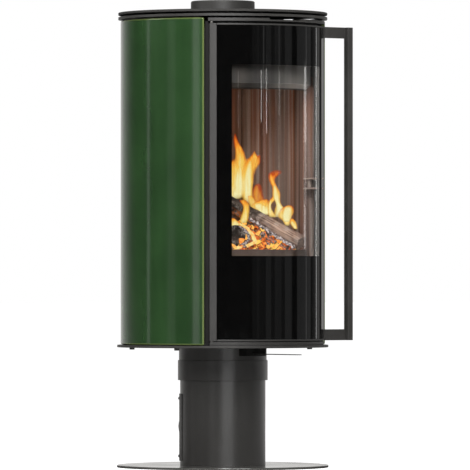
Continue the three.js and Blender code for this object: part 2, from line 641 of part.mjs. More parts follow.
// The curved steel front, with a fire opening and an ash opening. A small bracket holds the latch roller.
function frontFrame() {
  const base = sillTop + SEAT_GAP;
  const height = headerBase - SEAT_GAP - base;
  const sheet = curvedBar(frameInner, frameOuter, -DOOR_HALF_ANGLE, DOOR_HALF_ANGLE, height);
  const opening = (angle, low, high) =>
    curvedBar(frameInner - CUTTER_REACH, frameOuter + CUTTER_REACH, -angle, angle, high - low)
      .translate(0, 0, low - base);
  const latchLevel = (doorBase + doorTop) / 2 - base;
  const slotHalf = TONGUE_HEIGHT / 2 + LATCH_SLOT_MARGIN;
  const slot = box(tongueX - ROLLER_RADIUS, tongueX + TONGUE_THICKNESS + ROLLER_RADIUS, -frameOuter,
    -frameInner * 0.6, latchLevel - slotHalf, latchLevel + slotHalf);
  const bracketFrom = tongueX - 3 * ROLLER_RADIUS - 2 * RUNNING_GAP;
  const bracket = [-TONGUE_HEIGHT / 2 - LATCH_BRACKET_WALL, TONGUE_HEIGHT / 2].map((level) =>
    overlapOf(box(bracketFrom, tongueX - 2 * RUNNING_GAP, -frameInner, rollerY + LATCH_BRACKET_REACH,
      latchLevel + level, latchLevel + level + LATCH_BRACKET_WALL),
    curvedBar(frameInner - LATCH_BRACKET_DEPTH, frameInner + 1, 20, 60, height)));
  return node('front_frame',
    join(cut(sheet, opening(FIRE_OPENING_ANGLE, FIRE_OPENING_BASE, fireOpeningTop),
      opening(ASH_OPENING_ANGLE, ashShelfTop + 2, ashShelfTop + 2 + ASH_OPENING_HEIGHT), slot), ...bracket),
    ANTHRACITE, 0.7, 0.4, base);
}

function latchRoller() {
  const height = TONGUE_HEIGHT - 2 * SEAT_GAP;
  const place = [tongueX - RUNNING_GAP - ROLLER_RADIUS, rollerY];
  return node('latch_roller', at(post(ROLLER_RADIUS, height), place), BARE_STEEL, 0.3, 0.9,
    (doorBase + doorTop - height) / 2);
}

function doorJamb(name, side) {
  const [from, to] = side > 0 ? [jambFront, jambRear] : [-jambRear, -jambFront];
  const strip = curvedBar(shellOuter + SEAT_GAP, jambOuter, from, to, headerBase - SEAT_GAP - shellBase);
  return node(name, strip, ANTHRACITE, 0.7, 0.4, shellBase);
}

function frontSill() {
  const bar = curvedBar(frameInner, BODY_RADIUS - 2, -DOOR_HALF_ANGLE, DOOR_HALF_ANGLE, SILL_THICKNESS);
  return node('front_sill', bar, ANTHRACITE, 0.6, 0.5, shellBase);
}

// A shallow notch in the middle lets the warm air out over the door.
function frontHeader() {
  const bar = curvedBar(shellInner, BODY_RADIUS, -HEADER_HALF_ANGLE, HEADER_HALF_ANGLE, HEADER_THICKNESS);
  const cutter = curvedBar(shellInner - CUTTER_REACH, BODY_RADIUS + CUTTER_REACH, -HEADER_NOTCH_HALF_ANGLE,
    HEADER_NOTCH_HALF_ANGLE, HEADER_THICKNESS);
  const notch = cutter.translate(0, 0, HEADER_THICKNESS - HEADER_NOTCH_DEPTH);
  return node('front_header', cut(bar, notch), ANTHRACITE, 0.6, 0.5, headerBase);
}

// The door rests on the shoulder of the lower pin.
function lowerHingePin() {
  const shoulder = DOOR_GAP - 2 * SEAT_GAP;
  const pin = join(post(PIN_RADIUS, PIN_LENGTH + shoulder), post(PIN_SHOULDER_RADIUS, shoulder));
  return node('hinge_pin_lower', at(pin, around(pinCircle, -PIN_ANGLE)), BARE_STEEL, 0.3, 0.9,
    sillTop + SEAT_GAP);
}

function upperHingePin() {
  const length = PIN_LENGTH + headerBase - doorTop - SEAT_GAP;
  return node('hinge_pin_upper', at(post(PIN_RADIUS, length), around(pinCircle, -PIN_ANGLE)), BARE_STEEL, 0.3,
    0.9, doorTop - PIN_LENGTH);
}

function deck(name, base, hole) {
  const plate = ring(hole, deckRadius, DECK_THICKNESS, 0, SMALL_FACET_ANGLE);
  return node(name, plate, ANTHRACITE, 0.7, 0.4, base);
}

function makeCarcass() {
  const carcass = new THREE.Group();
  carcass.add(fireboxShell(), fireboxTop(), frontFrame(), latchRoller());
  carcass.add(doorJamb('left_jamb', -1), doorJamb('right_jamb', 1), frontSill(), frontHeader());
  carcass.add(lowerHingePin(), upperHingePin());
  carcass.add(deck('ash_shelf', ASH_SHELF_BASE, 0), deck('firebox_floor', FLOOR_BASE, GRATE_RADIUS - 12));
  return carcass;
}

// ---------------------------------------------------------------- firebox lining, grate and ash pan

function wallBrick(name, from, to) {
  const brick = curvedBar(brickInner, brickOuter, from + BRICK_JOINT / 2, to - BRICK_JOINT / 2,
    WALL_BRICK_HEIGHT);
  return node(name, brick, VERMICULITE, 0.95, 0, wallBrickBase);
}

// The floor brick is a ring round the grate, level with it.
function floorBrick() {
  const hole = GRATE_RADIUS + SEAT_GAP * 2;
  return node('brick_floor', ring(hole, deckRadius, FLOOR_BRICK_THICKNESS, 0, SMALL_FACET_ANGLE), VERMICULITE,
    0.95, 0, floorDeckTop + SEAT_GAP);
}

function grate() {
  const plate = ring(0, GRATE_RADIUS, GRATE_THICKNESS, 0, SMALL_FACET_ANGLE);
  const slots = [];
  const reach = GRATE_RADIUS - 16;
  for (let x = -3 * GRATE_SLOT_PITCH; x <= 3 * GRATE_SLOT_PITCH; x += GRATE_SLOT_PITCH) {
    const half = Math.sqrt(reach * reach - x * x);
    slots.push(box(x - GRATE_SLOT_WIDTH / 2, x + GRATE_SLOT_WIDTH / 2, -half, half, -1, GRATE_THICKNESS + 1));
  }
  return node('grate', cut(plate, ...slots), 0x2c2a28, 0.8, 0.4, floorDeckTop + SEAT_GAP);
}

// An open tray with a turned-down lip at the front to pull it by.
function ashPan() {
  const half = ASH_PAN_WIDTH / 2;
  const front = -Math.sqrt(shellInner ** 2 - half ** 2) + 2;
  const wall = ASH_PAN_WALL;
  const tray = cut(box(-half, half, front, front + ASH_PAN_DEPTH, 0, ASH_PAN_HEIGHT),
    box(-half + wall, half - wall, front + wall, front + ASH_PAN_DEPTH - wall, wall, ASH_PAN_HEIGHT + 1));
  const lip = box(-40, 40, front - 14, front + 0.5, ASH_PAN_HEIGHT - wall, ASH_PAN_HEIGHT);
  const lipEdge = box(-40, 40, front - 14, front - 14 + wall, ASH_PAN_HEIGHT - 12, ASH_PAN_HEIGHT);
  return node('ash_pan', join(tray, lip, lipEdge), BARE_STEEL, 0.5, 0.7, ashShelfTop + SEAT_GAP);
}

// An angle that keeps the embers off the glass.
function logRetainer() {
  const foot = curvedBar(brickInner, brickInner + 18, -FIRE_OPENING_ANGLE, FIRE_OPENING_ANGLE, 3);
  const wall = curvedBar(brickInner + 14, brickInner + 18, -FIRE_OPENING_ANGLE, FIRE_OPENING_ANGLE,
    RETAINER_HEIGHT);
  return node('log_retainer', join(foot, wall), 0x2c2a28, 0.8, 0.4, wallBrickBase);
}

// A plate cut off straight at the front, so that smoke passes up before it.
function baffle(name, radius, front, thickness, base, color) {
  const plate = overlapOf(ring(0, radius, thickness),
    box(-radius, radius, -front, radius, -1, thickness + 1));
  return node(name, plate, color, 0.9, 0, base);
}

function upperBaffle() {
  const radius = shellInner - SEAT_GAP;
  const plate = overlapOf(ring(0, radius, UPPER_BAFFLE_THICKNESS),
    box(-radius, radius, -radius * 0.72, radius * 0.6, -1, UPPER_BAFFLE_THICKNESS + 1));
  return node('baffle_upper', plate, ANTHRACITE, 0.8, 0.4, upperBaffleBase);
}

// Sends the air wash down the inside of the glass: a flange, a web and a lip bent back from the glass.
function airwashDeflector() {
  const outer = frameInner - SEAT_GAP;
  const web = outer - 11;
  const low = -DEFLECTOR_DEPTH;
  const profile = [[outer, 6], [outer, 8], [web - 2, 8], [web - 2, low + 14], [web - 14, low + 1],
    [web - 12.6, low - 0.4], [web, low + 13.2], [web, 6]];
  const sheet = turnedSector(profile, -DEFLECTOR_HALF_ANGLE, DEFLECTOR_HALF_ANGLE, outer + 10);
  return node('airwash_deflector', sheet, BARE_STEEL, 0.5, 0.6, fireOpeningTop);
}

function makeLining() {
  const lining = new THREE.Group();
  lining.add(wallBrick('brick_left', -SIDE_BRICK_REAR_ANGLE, -SIDE_BRICK_FRONT_ANGLE));
  lining.add(wallBrick('brick_right', SIDE_BRICK_FRONT_ANGLE, SIDE_BRICK_REAR_ANGLE));
  lining.add(wallBrick('brick_rear', SIDE_BRICK_REAR_ANGLE, 360 - SIDE_BRICK_REAR_ANGLE));
  lining.add(floorBrick(), grate(), ashPan(), logRetainer());
  lining.add(baffle('baffle_lower', brickOuter, BAFFLE_FRONT, BAFFLE_THICKNESS, baffleBase, VERMICULITE));
  lining.add(upperBaffle(), airwashDeflector());
  return lining;
}

// ---------------------------------------------------------------- combustion air

// A flat housing under the bottom plate with a round way through it and a slot for the gate.
function airValveBody() {
  const base = hubTop + 3;
  const height = PEDESTAL_HEIGHT - SEAT_GAP - base;
  const block = box(-VALVE_HALF_WIDTH, VALVE_HALF_WIDTH, -VALVE_HALF_LENGTH, VALVE_HALF_LENGTH,
    leverBase - VALVE_FLOOR - base, height);
  const spigot = post(VALVE_BORE_RADIUS + DUCT_WALL, leverBase - VALVE_FLOOR / 2 - base, 40);
  const bore = post(VALVE_BORE_RADIUS, height + 2, 40).translate(0, 0, -1);
  const slotHalf = GATE_HALF_WIDTH + RUNNING_GAP;
  const slot = box(-slotHalf, slotHalf, -VALVE_HALF_LENGTH - 1, gateRear + LEVER_TRAVEL + GATE_MARGIN,
    leverBase - RUNNING_GAP - base, gateTop + RUNNING_GAP - base);
  return node('air_valve_body', cut(join(block, spigot), bore, slot), BARE_STEEL, 0.4, 0.8, base);
}

// A low box over the bottom plate that leads the air back to the riser.
function airBox() {
  const [side, wall] = [AIR_BOX_HALF_WIDTH, AIR_BOX_WALL];
  const outside = box(-side, side, -AIR_BOX_FRONT, AIR_BOX_REAR, 0, AIR_BOX_HEIGHT);
  const inside = box(-side + wall, side - wall, -AIR_BOX_FRONT + wall, AIR_BOX_REAR + wall, -1,
    AIR_BOX_HEIGHT - wall);
  return node('air_box', cut(outside, inside), BARE_STEEL, 0.5, 0.7, shellBase);
}

// A channel up the back of the firebox shell. Air reaches the rear wall's holes and the air wash through it.
function airRiser() {
  const inner = shellOuter + SEAT_GAP;
  const outer = inner + RISER_DEPTH;
  const height = shellTop - shellBase - 60;
  const outside = curvedBar(inner, outer, 180 - RISER_HALF_ANGLE, 180 + RISER_HALF_ANGLE, height);
  const inside = curvedBar(inner - 5, outer - RISER_WALL, 180 - RISER_HALF_ANGLE + 0.5,
    180 + RISER_HALF_ANGLE - 0.5, height - 2 * RISER_WALL).translate(0, 0, RISER_WALL);
  return node('air_riser', cut(outside, inside), BARE_STEEL, 0.5, 0.7, shellBase);
}

// A bridge in front of the neck that the lever slides through.
function leverGuide() {
  const height = PEDESTAL_HEIGHT - SEAT_GAP - guideBase;
  const front = -(neckOuter + GUIDE_DEPTH);
  const bridge = box(-GUIDE_HALF_WIDTH, GUIDE_HALF_WIDTH, front, -neckOuter + 6, 0, height);
  const neck = post(neckOuter + SEAT_GAP, height + 2, 72).translate(0, 0, -1);
  const slot = box(-LEVER_WIDTH / 2 - 1, LEVER_WIDTH / 2 + 1, front - 1, 0,
    leverBase - 0.6 - guideBase, gateTop + 0.6 - guideBase);
  return node('lever_guide', cut(bridge, neck, slot), ANTHRACITE, 0.6, 0.5, guideBase);
}

function makeAirSystem() {
  const system = new THREE.Group();
  system.add(airValveBody(), airBox(), airRiser(), leverGuide());
  return system;
}

// The gate blocks part of the bore when the lever is pushed in.
function airGate() {
  const plate = box(-GATE_HALF_WIDTH, GATE_HALF_WIDTH, gateFront, gateRear, 0, LEVER_THICKNESS);
  return node('air_gate', plate, BARE_STEEL, 0.4, 0.8, leverBase);
}

// A flat strip with a rounded tip.
function airLever() {
  const half = LEVER_WIDTH / 2;
  const rear = gateFront - SEAT_GAP;
  const plan = new THREE.Shape();
  plan.moveTo(-half, rear);
  plan.lineTo(-half, -LEVER_TIP + half);
  plan.absarc(0, -LEVER_TIP + half, half, Math.PI, 2 * Math.PI, false);
  plan.lineTo(half, rear);
  const strip = new THREE.ExtrudeGeometry(plan, {
    depth: LEVER_THICKNESS,
    bevelEnabled: false,
    curveSegments: 6,
  });
  return node('air_lever', strip, ANTHRACITE, 0.5, 0.6, leverBase);
}

function makeLever() {
  const lever = new THREE.Group();
  lever.add(airLever(), airGate());
  return lever;
}

// ---------------------------------------------------------------- door

// The steel back of the door: a curved plate round the window, with a lip above and below the glass,
// and six clips beside the window that hold the glass.
function doorFrame() {
  const side = glassAngle;
  const plate = curvedBar(doorFrameInner, doorFrameOuter, -side, side, DOOR_HEIGHT);
  const opening = curvedBar(doorFrameInner - 10, doorFrameOuter + 10, -WINDOW_HALF_ANGLE, WINDOW_HALF_ANGLE,
    WINDOW_HEIGHT).translate(0, 0, WINDOW_BASE - doorBase);
  const lips = [0, DOOR_HEIGHT - LIP_HEIGHT].map((level) =>
    curvedBar(doorFrameInner, BODY_RADIUS, -side, side, LIP_HEIGHT).translate(0, 0, level));
  const clips = [];
  for (const side of [-1, 1]) {
    for (const share of [0.1, 0.5, 0.9]) {
      const angle = side * (WINDOW_HALF_ANGLE + 2.4);
      clips.push(curvedBar(doorFrameInner - 3, doorFrameInner + 1, angle - 1.4, angle + 1.4, 24)
        .translate(0, 0, WINDOW_BASE + share * WINDOW_HEIGHT - 12 - doorBase));
    }
  }
  return node('door_frame', join(cut(plate, opening), ...lips, ...clips), ANTHRACITE, 0.6, 0.5, doorBase);
}

// Upright at the hinge, bored at both ends for the pins.
function hingeStile() {
  const bar = curvedBar(doorInner, BODY_RADIUS, -DOOR_HALF_ANGLE, STILE_ANGLE - DOOR_HALF_ANGLE,
    DOOR_HEIGHT);
  const place = around(pinCircle, -PIN_ANGLE);
  const bore = (level) => at(post(PIN_RADIUS + SEAT_GAP, PIN_LENGTH + 2), place, level);
  return node('hinge_stile', cut(bar, bore(-1), bore(DOOR_HEIGHT - PIN_LENGTH - 1)), ANTHRACITE, 0.6, 0.5,
    doorBase);
}

function latchStile() {
  const bar = curvedBar(doorInner, BODY_RADIUS, DOOR_HALF_ANGLE - STILE_ANGLE, DOOR_HALF_ANGLE, DOOR_HEIGHT);
  return node('latch_stile', bar, ANTHRACITE, 0.6, 0.5, doorBase);
}

function doorGlass() {
  const pane = curvedBar(glassInner, BODY_RADIUS, -glassAngle, glassAngle, glassTop - glassBase);
  return node('door_glass', pane, 0x101010, 0.08, 0, glassBase);
}

// The rope seal runs round the fire opening and presses on the front frame.
function doorSeal() {
  const inner = frameOuter + SEAT_GAP;
  const outer = doorFrameInner - SEAT_GAP;
  const marginAngle = THREE.MathUtils.radToDeg(SEAL_MARGIN / frameOuter);
  const widthAngle = THREE.MathUtils.radToDeg(SEAL_WIDTH / frameOuter);
  const innerAngle = FIRE_OPENING_ANGLE + marginAngle;
  const low = FIRE_OPENING_BASE - SEAL_MARGIN;
  const high = fireOpeningTop + SEAL_MARGIN;
  const outside = curvedBar(inner, outer, -innerAngle - widthAngle, innerAngle + widthAngle,
    high - low + 2 * SEAL_WIDTH);
  const inside = curvedBar(inner - 5, outer + 5, -innerAngle, innerAngle, high - low)
    .translate(0, 0, SEAL_WIDTH);
  return node('door_seal', cut(outside, inside), 0x8a867c, 0.95, 0, low - SEAL_WIDTH);
}

// A flat tongue behind the door. It runs past the roller through a slot in the front frame.
function latchTongue() {
  const level = (doorBase + doorTop) / 2 - TONGUE_HEIGHT / 2;
  const plan = new THREE.Shape();
  plan.moveTo(tongueX, tongueRoot);
  plan.lineTo(tongueX + TONGUE_THICKNESS, tongueRoot);
  plan.lineTo(tongueX + TONGUE_THICKNESS, tongueRoot + TONGUE_LENGTH);
  plan.lineTo(tongueX + TONGUE_THICKNESS / 2, tongueRoot + TONGUE_LENGTH + TONGUE_THICKNESS);
  plan.lineTo(tongueX, tongueRoot + TONGUE_LENGTH);
  const blade = new THREE.ExtrudeGeometry(plan, { depth: TONGUE_HEIGHT, bevelEnabled: false });
  return node('latch_tongue', blade, BARE_STEEL, 0.3, 0.9, level);
}

function squareBar(size, height, round) {
  const half = size / 2;
  const plan = new THREE.Shape();
  plan.moveTo(-half, -half);
  plan.lineTo(half, -half);
  plan.lineTo(half, half);
  plan.lineTo(-half, half);
  return new THREE.ExtrudeGeometry(plan, {
    depth: height - 2 * round, bevelThickness: round, bevelSize: round, bevelOffset: -round, bevelSegments: 2,
  }).translate(0, 0, round);
}

function handleBar() {
  const bar = squareBar(HANDLE_BAR_SIZE, DOOR_HEIGHT, EDGE_CHAMFER);
  return node('handle_bar', at(bar, [handleX, handleY]), ANTHRACITE, 0.5, 0.5, doorBase);
}

// A flat arm from the edge of the latch stile to the bar, flush with the bar's rear face.
function handleArm(name, level) {
  const front = armRear - HANDLE_ARM_THICKNESS;
  const edge = (y) => -y * Math.tan(radians(DOOR_HALF_ANGLE)) + 2 * SEAT_GAP;
  const tip = handleX - HANDLE_BAR_SIZE / 2 - SEAT_GAP;
  const plan = new THREE.Shape();
  plan.moveTo(edge(front), front);
  plan.lineTo(tip, front);
  plan.lineTo(tip, armRear);
  plan.lineTo(edge(armRear), armRear);
  const arm = new THREE.ExtrudeGeometry(plan, { depth: HANDLE_ARM_HEIGHT, bevelEnabled: false });
  return node(name, arm, ANTHRACITE, 0.5, 0.5, doorBase + level);
}

function makeDoor() {
  const door = new THREE.Group();
  door.add(doorFrame(), hingeStile(), latchStile(), doorGlass(), doorSeal());
  door.add(latchTongue(), handleBar(), handleArm('handle_arm_lower', 0));
  door.add(handleArm('handle_arm_upper', DOOR_HEIGHT - HANDLE_ARM_HEIGHT));
  return door;
}

// ---------------------------------------------------------------- fire

// A split log between two points: bark on the round side, two flat faces on the other.
function logBody(from, to, radius, turn, grow = 0) {
  const r = radius + grow;
  const plan = new THREE.Shape();
  plan.absarc(0, 0, r, radians(-20), radians(200), false);
  plan.lineTo(-0.35 * r, -0.85 * r);
  plan.lineTo(0.5 * r, -0.8 * r);
  const [start, end] = [new THREE.Vector3(...from), new THREE.Vector3(...to)];
  const length = start.distanceTo(end);
  const body = new THREE.ExtrudeGeometry(plan, {
    depth: length + 2 * grow - 4, curveSegments: 7, bevelThickness: 2, bevelSize: 2, bevelOffset: -2,
    bevelSegments: 1,
  }).translate(0, 0, 2 - grow);
  const direction = end.clone().sub(start).normalize();
  const aim = new THREE.Quaternion().setFromUnitVectors(new THREE.Vector3(0, 0, 1), direction);
  return body.rotateZ(radians(turn)).applyQuaternion(aim).translate(...from);
}

// A point on or over the hearth, in shares of the ember bed's radius: to the right, back and up.
const onHearth = (right, back, up) =>
  [right * EMBER_RADIUS, back * EMBER_RADIUS, wallBrickBase + up * EMBER_RADIUS];

const lowerLog = [onHearth(-0.2035, -0.5407, 0.2849), onHearth(0.4477, 0.2907, 0.2849), LOG_RADIUS, 100];
const backLog = [onHearth(-0.3023, 0.593, 0.5523), onHearth(0.407, -0.0116, 0.5465), LOG_RADIUS, 60];
const leaningLog = [onHearth(0.0988, 0.2326, 0.7849), onHearth(0.5523, -1.1047, 0.1773),
  LEANING_LOG_RADIUS, 200];

// The bed of embers heaps up round the lower log, and each upper log is seated on the ones below.
function makeFire() {
  const fire = new THREE.Group();
  const half = EMBER_RADIUS / 2;
  const heap = turned([[0, 0], [EMBER_RADIUS, 0], [EMBER_RADIUS - 4, 4], [half * 1.5, EMBER_CROWN * 0.7],
    [half, EMBER_CROWN], [half * 0.5, EMBER_CROWN * 1.25], [0, EMBER_CROWN * 1.3]], 12);
  const embers = cut(heap.translate(0, 0, wallBrickBase), logBody(...lowerLog, SEAT_GAP),
    logBody(...leaningLog, SEAT_GAP));
  const upper = cut(logBody(...backLog), logBody(...lowerLog, SEAT_GAP));
  const leaning = cut(logBody(...leaningLog), logBody(...backLog, SEAT_GAP), logBody(...lowerLog, SEAT_GAP));
  fire.add(node('ember_bed', embers, 0xd0682a, 0.9, 0));
  fire.add(node('log_lower', logBody(...lowerLog), BARK, 0.95, 0));
  fire.add(node('log_back', upper, BARK, 0.95, 0));
  fire.add(node('log_leaning', leaning, BARK, 0.95, 0));
  return fire;
}

// ---------------------------------------------------------------- the whole stove

const stove = new THREE.Group();
stove.name = 'tiled_stove';
stove.add(makePedestal(), makeCarrier(), makeCladding(), makeCarcass(), makeLining());
stove.add(makeAirSystem(), makeLever(), makeDoor(), makeFire());

export default stove;
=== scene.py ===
"""A round tiled stove on a swivel pedestal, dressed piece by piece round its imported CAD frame, in metres.

Angles round the stove are in degrees from the middle of the door towards +X, and the door faces -Y.
"""

import math
import random
from contextlib import contextmanager

import bpy
from mathutils import Matrix, Vector


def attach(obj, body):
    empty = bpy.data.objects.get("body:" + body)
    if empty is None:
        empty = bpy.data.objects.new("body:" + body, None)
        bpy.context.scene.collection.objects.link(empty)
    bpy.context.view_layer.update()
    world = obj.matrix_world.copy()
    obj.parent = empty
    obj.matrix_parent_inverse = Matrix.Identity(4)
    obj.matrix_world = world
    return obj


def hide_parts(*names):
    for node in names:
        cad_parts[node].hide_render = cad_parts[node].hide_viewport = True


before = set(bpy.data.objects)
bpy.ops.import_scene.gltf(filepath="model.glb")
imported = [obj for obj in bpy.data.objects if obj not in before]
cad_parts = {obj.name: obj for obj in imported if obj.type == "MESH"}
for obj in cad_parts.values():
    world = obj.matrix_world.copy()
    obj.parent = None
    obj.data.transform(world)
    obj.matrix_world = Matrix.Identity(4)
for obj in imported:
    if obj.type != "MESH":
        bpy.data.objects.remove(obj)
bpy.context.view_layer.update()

# ---------------- camera
# A long lens, far off and level with the lower third of the stove, looks at the left edge of the door.
# The distance keeps the perspective as flat as it is in the photograph.

CAMERA_DISTANCE, CAMERA_ANGLE, CAMERA_HEIGHT = 14.4, -38.0, 0.4768
AIM_HEIGHT, AIM_RIGHT = 0.5679, 0.0299
LENS, SENSOR_WIDTH, FARTHEST = 450.7, 36, 200

scene = bpy.context.scene


def around(angle, radius=1.0, height=0.0):
    """The point at an angle round the stove, a radius out and a height up."""
    turn = math.radians(angle)
    return Vector((radius * math.sin(turn), -radius * math.cos(turn), height))


def look(thing, target):
    """Turns a camera or a lamp towards a point."""
    thing.rotation_euler = (target - thing.location).to_track_quat("-Z", "Y").to_euler()


toward_camera = around(CAMERA_ANGLE)
camera_right = around(CAMERA_ANGLE + 90)
camera = bpy.data.objects.new("camera", bpy.data.cameras.new("camera"))
scene.collection.objects.link(camera)
scene.camera = camera
camera.data.sensor_width = SENSOR_WIDTH
camera.data.lens = LENS
camera.data.clip_end = FARTHEST
camera.location = around(CAMERA_ANGLE, CAMERA_DISTANCE, CAMERA_HEIGHT)
look(camera, camera_right * AIM_RIGHT + Vector((0, 0, AIM_HEIGHT)))

# ---------------- studio
# White paper all round, as a camera, a mirror or a pane sees it. The lamps are plain soft boxes: a big
# one high behind the camera, and tall strips that draw upright lines on the glaze and the glass.

scene.view_settings.view_transform = "Standard"


class Field:
    """What a shader node puts out: a value, a colour or a direction that further nodes work on."""

    def __init__(self, tree, socket):
        self.tree, self.socket = tree, socket

    def then(self, kind, inputs, output=0, into=0, **settings):
        """The output of a node that this one feeds."""
        return field(self.tree, kind, {into: self, **inputs}, output, **settings)

    def maths(self, operation, other=0.0):
        return self.then("ShaderNodeMath", {1: other}, operation=operation)

    def __add__(self, other):
        return self.maths("ADD", other)

    def __sub__(self, other):
        return self.maths("SUBTRACT", other)

    def __mul__(self, other):
        return self.maths("MULTIPLY", other)

    def __pow__(self, other):
        return self.maths("POWER", other)

    def vector(self, operation, other=(0, 0, 0), output=0):
        return self.then("ShaderNodeVectorMath", {1: other}, output, operation=operation)

    def scaled(self, factor):
        return self.then("ShaderNodeVectorMath", {"Scale": factor}, operation="SCALE")

    def part(self, axis):
        return self.then("ShaderNodeSeparateXYZ", {}, axis)

    def stretch(self, from_low, from_high, to_low=0, to_high=1):
        """The value moved from one range to another, and held inside it."""
        return self.then("ShaderNodeMapRange", {1: from_low, 2: from_high, 3: to_low, 4: to_high})

    def mix(self, first, second):
        """The first colour where this share is 0, and the second where it is 1."""
        return self.then("ShaderNodeMix", {6: first, 7: second}, 2, data_type="RGBA")

    def blend(self, first, second):
        """The same with two shaders."""
        return self.then("ShaderNodeMixShader", {1: first, 2: second})

    def noise(self, scale, detail, distortion=0.0):
        return self.then("ShaderNodeTexNoise", {"Scale": scale, "Detail": detail, "Distortion": distortion})

    def cells(self, scale, output="Distance", feature="F1"):
        return self.then("ShaderNodeTexVoronoi", {"Scale": scale}, output, feature=feature)

    def bump(self, strength, distance):
        return self.then("ShaderNodeBump", {"Strength": strength, "Distance": distance}, into="Height")


def put(tree, socket, value):
    """Links a field to a socket, or sets the socket's own value."""
    if isinstance(value, Field):
        tree.links.new(value.socket, socket)
    elif socket.type == "RGBA":
        socket.default_value = (*value, 1)
    else:
        socket.default_value = value


def add(tree, kind, inputs=None, **settings):
    """A node with its settings, and with the values of the inputs named."""
    made = tree.nodes.new(kind)
    for setting, value in settings.items():
        setattr(made, setting, value)
    for socket, value in (inputs or {}).items():
        put(tree, made.inputs[socket], value)
    return made


def field(tree, kind, inputs=None, output=0, **settings):
    return Field(tree, add(tree, kind, inputs, **settings).outputs[output])


def spot_in(tree):
    """Where each spot of the piece lies."""
    return field(tree, "ShaderNodeTexCoord", output="Object")


def ray_shares(tree):
    """Whether a ray sees the paper as the camera does, straight or through a pane, or as a mirror does.

    Light that has bounced off the lining and leaves through the pane meets neither. Light that the
    pane's inner face has mirrored counts as a mirror's.
    """
    ray = {output.name: Field(tree, output) for output in add(tree, "ShaderNodeLightPath").outputs}
    unbounced = ray["Diffuse Depth"].maths("LESS_THAN", 0.5)
    returned = ray["Glossy Depth"].maths("GREATER_THAN", 0.5) * unbounced
    seen = ray["Is Camera Ray"].maths("MAXIMUM", ray["Is Transmission Ray"]) * unbounced - returned
    return seen, ray["Is Glossy Ray"].maths("MAXIMUM", returned)


def mirror_paper(behind):
    """A mirror sees dark cloth round the camera and the white paper behind the stove."""
    return (behind.stretch(0.35, 0.99) ** 2.0).stretch(0, 1, 0.012, 0.78)


WHITE, WARM_WHITE = (1, 1, 1), (1, 0.985, 0.965)
SKY_LIGHT = 0.24
world = bpy.data.worlds.new("studio")
scene.world = world
world.use_nodes = True
sky = world.node_tree
sky.nodes.clear()
behind = field(sky, "ShaderNodeTexCoord", output="Generated").vector("DOT_PRODUCT", -toward_camera, "Value")
sky_for_mirrors, sky_light, sky_seen = (
    field(sky, "ShaderNodeBackground", {0: colour, 1: strength})
    for colour, strength in ((WARM_WHITE, mirror_paper(behind)), (WHITE, SKY_LIGHT), (WHITE, 1.0)))
seen, mirrored = ray_shares(sky)
add(sky, "ShaderNodeOutputWorld", {0: seen.blend(mirrored.blend(sky_light, sky_for_mirrors), sky_seen)})


def soft_box(name, angle, distance, height, width, tall, watts, aim_height):
    """A rectangular lamp at an angle round the stove, turned to face it."""
    lamp = bpy.data.lights.new(name, "AREA")
    lamp.shape = "RECTANGLE"
    lamp.size, lamp.size_y = width, tall
    lamp.energy = watts
    holder = bpy.data.objects.new(name, lamp)
    scene.collection.objects.link(holder)
    holder.location = around(angle, distance, height)
    look(holder, Vector((0, 0, aim_height)))


soft_box("column_light", -25, 4.0, 0.095, 2.2, 0.19, 8.3, 0.095)
soft_box("key", -36, 4.4, 3.2, 0.9, 2.6, 260, 0.5)
soft_box("left_fill", -120, 4.0, 2.6, 1.6, 2.4, 40, 0.6)
soft_box("strip_door_near", 65.5, 3.2, 0.767, 0.2, 0.185, 0.09, 0.767)
soft_box("strip_door_high", 65.5, 3.2, 0.97, 0.2, 0.22, 0.33, 0.97)
soft_box("strip_door_low", 65, 3.2, 0.61, 0.09, 0.13, 0.11, 0.61)
soft_box("strip_door_line", 67, 3.2, 0.9, 0.05, 3.2, 0.35, 0.9)
soft_box("strip_door_far", 89.5, 3.2, 0.9, 0.06, 3.2, 1.8, 0.6)
soft_box("strip_door_soft", 64, 3.6, 0.9, 1.58, 3.6, 4.0, 0.6)
# Thin gaps between the cloths draw fine lines on the upper part of the pane.
for angle, height, width, tall, watts in ((-21.3, 0.98, 0.02, 0.17, 0.025), (4.4, 0.99, 0.05, 0.15, 0.1),
                                          (10.5, 0.975, 0.04, 0.19, 0.14), (26.5, 1.0, 0.06, 0.13, 0.04),
                                          (7, 0.95, 0.08, 0.6, 0.08), (26, 0.95, 0.05, 0.6, 0.05)):
    soft_box("gap_line", angle, 3.2, height, width, tall, watts, height)
# Broad dim openings between the cloths give the black enamel its faint upright bands.
for angle, width, watts in ((-2, 0.5, 0.4), (13, 0.4, 0.7), (25, 0.55, 0.7), (39, 0.65, 1.4)):
    soft_box("dim_opening", angle, 3.7, 0.9, width, 3.8, watts, 0.9)
soft_box("dim_wall", 21, 4.1, 0.9, 3.2, 4.4, 2.8, 0.9)
soft_box("strip_tile_front", -67, 3.4, 0.9, 0.46, 4.4, 5.4, 0.6)
soft_box("strip_tile_middle", -96, 3.4, 0.9, 0.6, 4.4, 1.8, 0.6)
soft_box("strip_tile_rear", -127.7, 3.4, 0.9, 0.24, 4.4, 2.2, 0.6)


def primitive(operator, name, scale=(1, 1, 1), **settings):
    """A primitive, added with nothing else selected, that keeps its place and size in its mesh."""
    bpy.ops.object.select_all(action="DESELECT")
    operator(**settings)
    piece = bpy.context.object
    piece.name = piece.data.name = name
    piece.scale = scale
    bpy.ops.object.transform_apply(location=True, rotation=True, scale=True)
    return piece


# The floor is pale paper. It is white to the camera where no shadow falls, and keeps the stove's shadow.
# A mirror sees the cloth that lies on it round the camera, and the bare paper behind the stove.
FLOOR_HALF_WIDTH = 60.0
FLOOR_GLOW = 0.86
CLOTH_END, PAPER_START = 14, 22

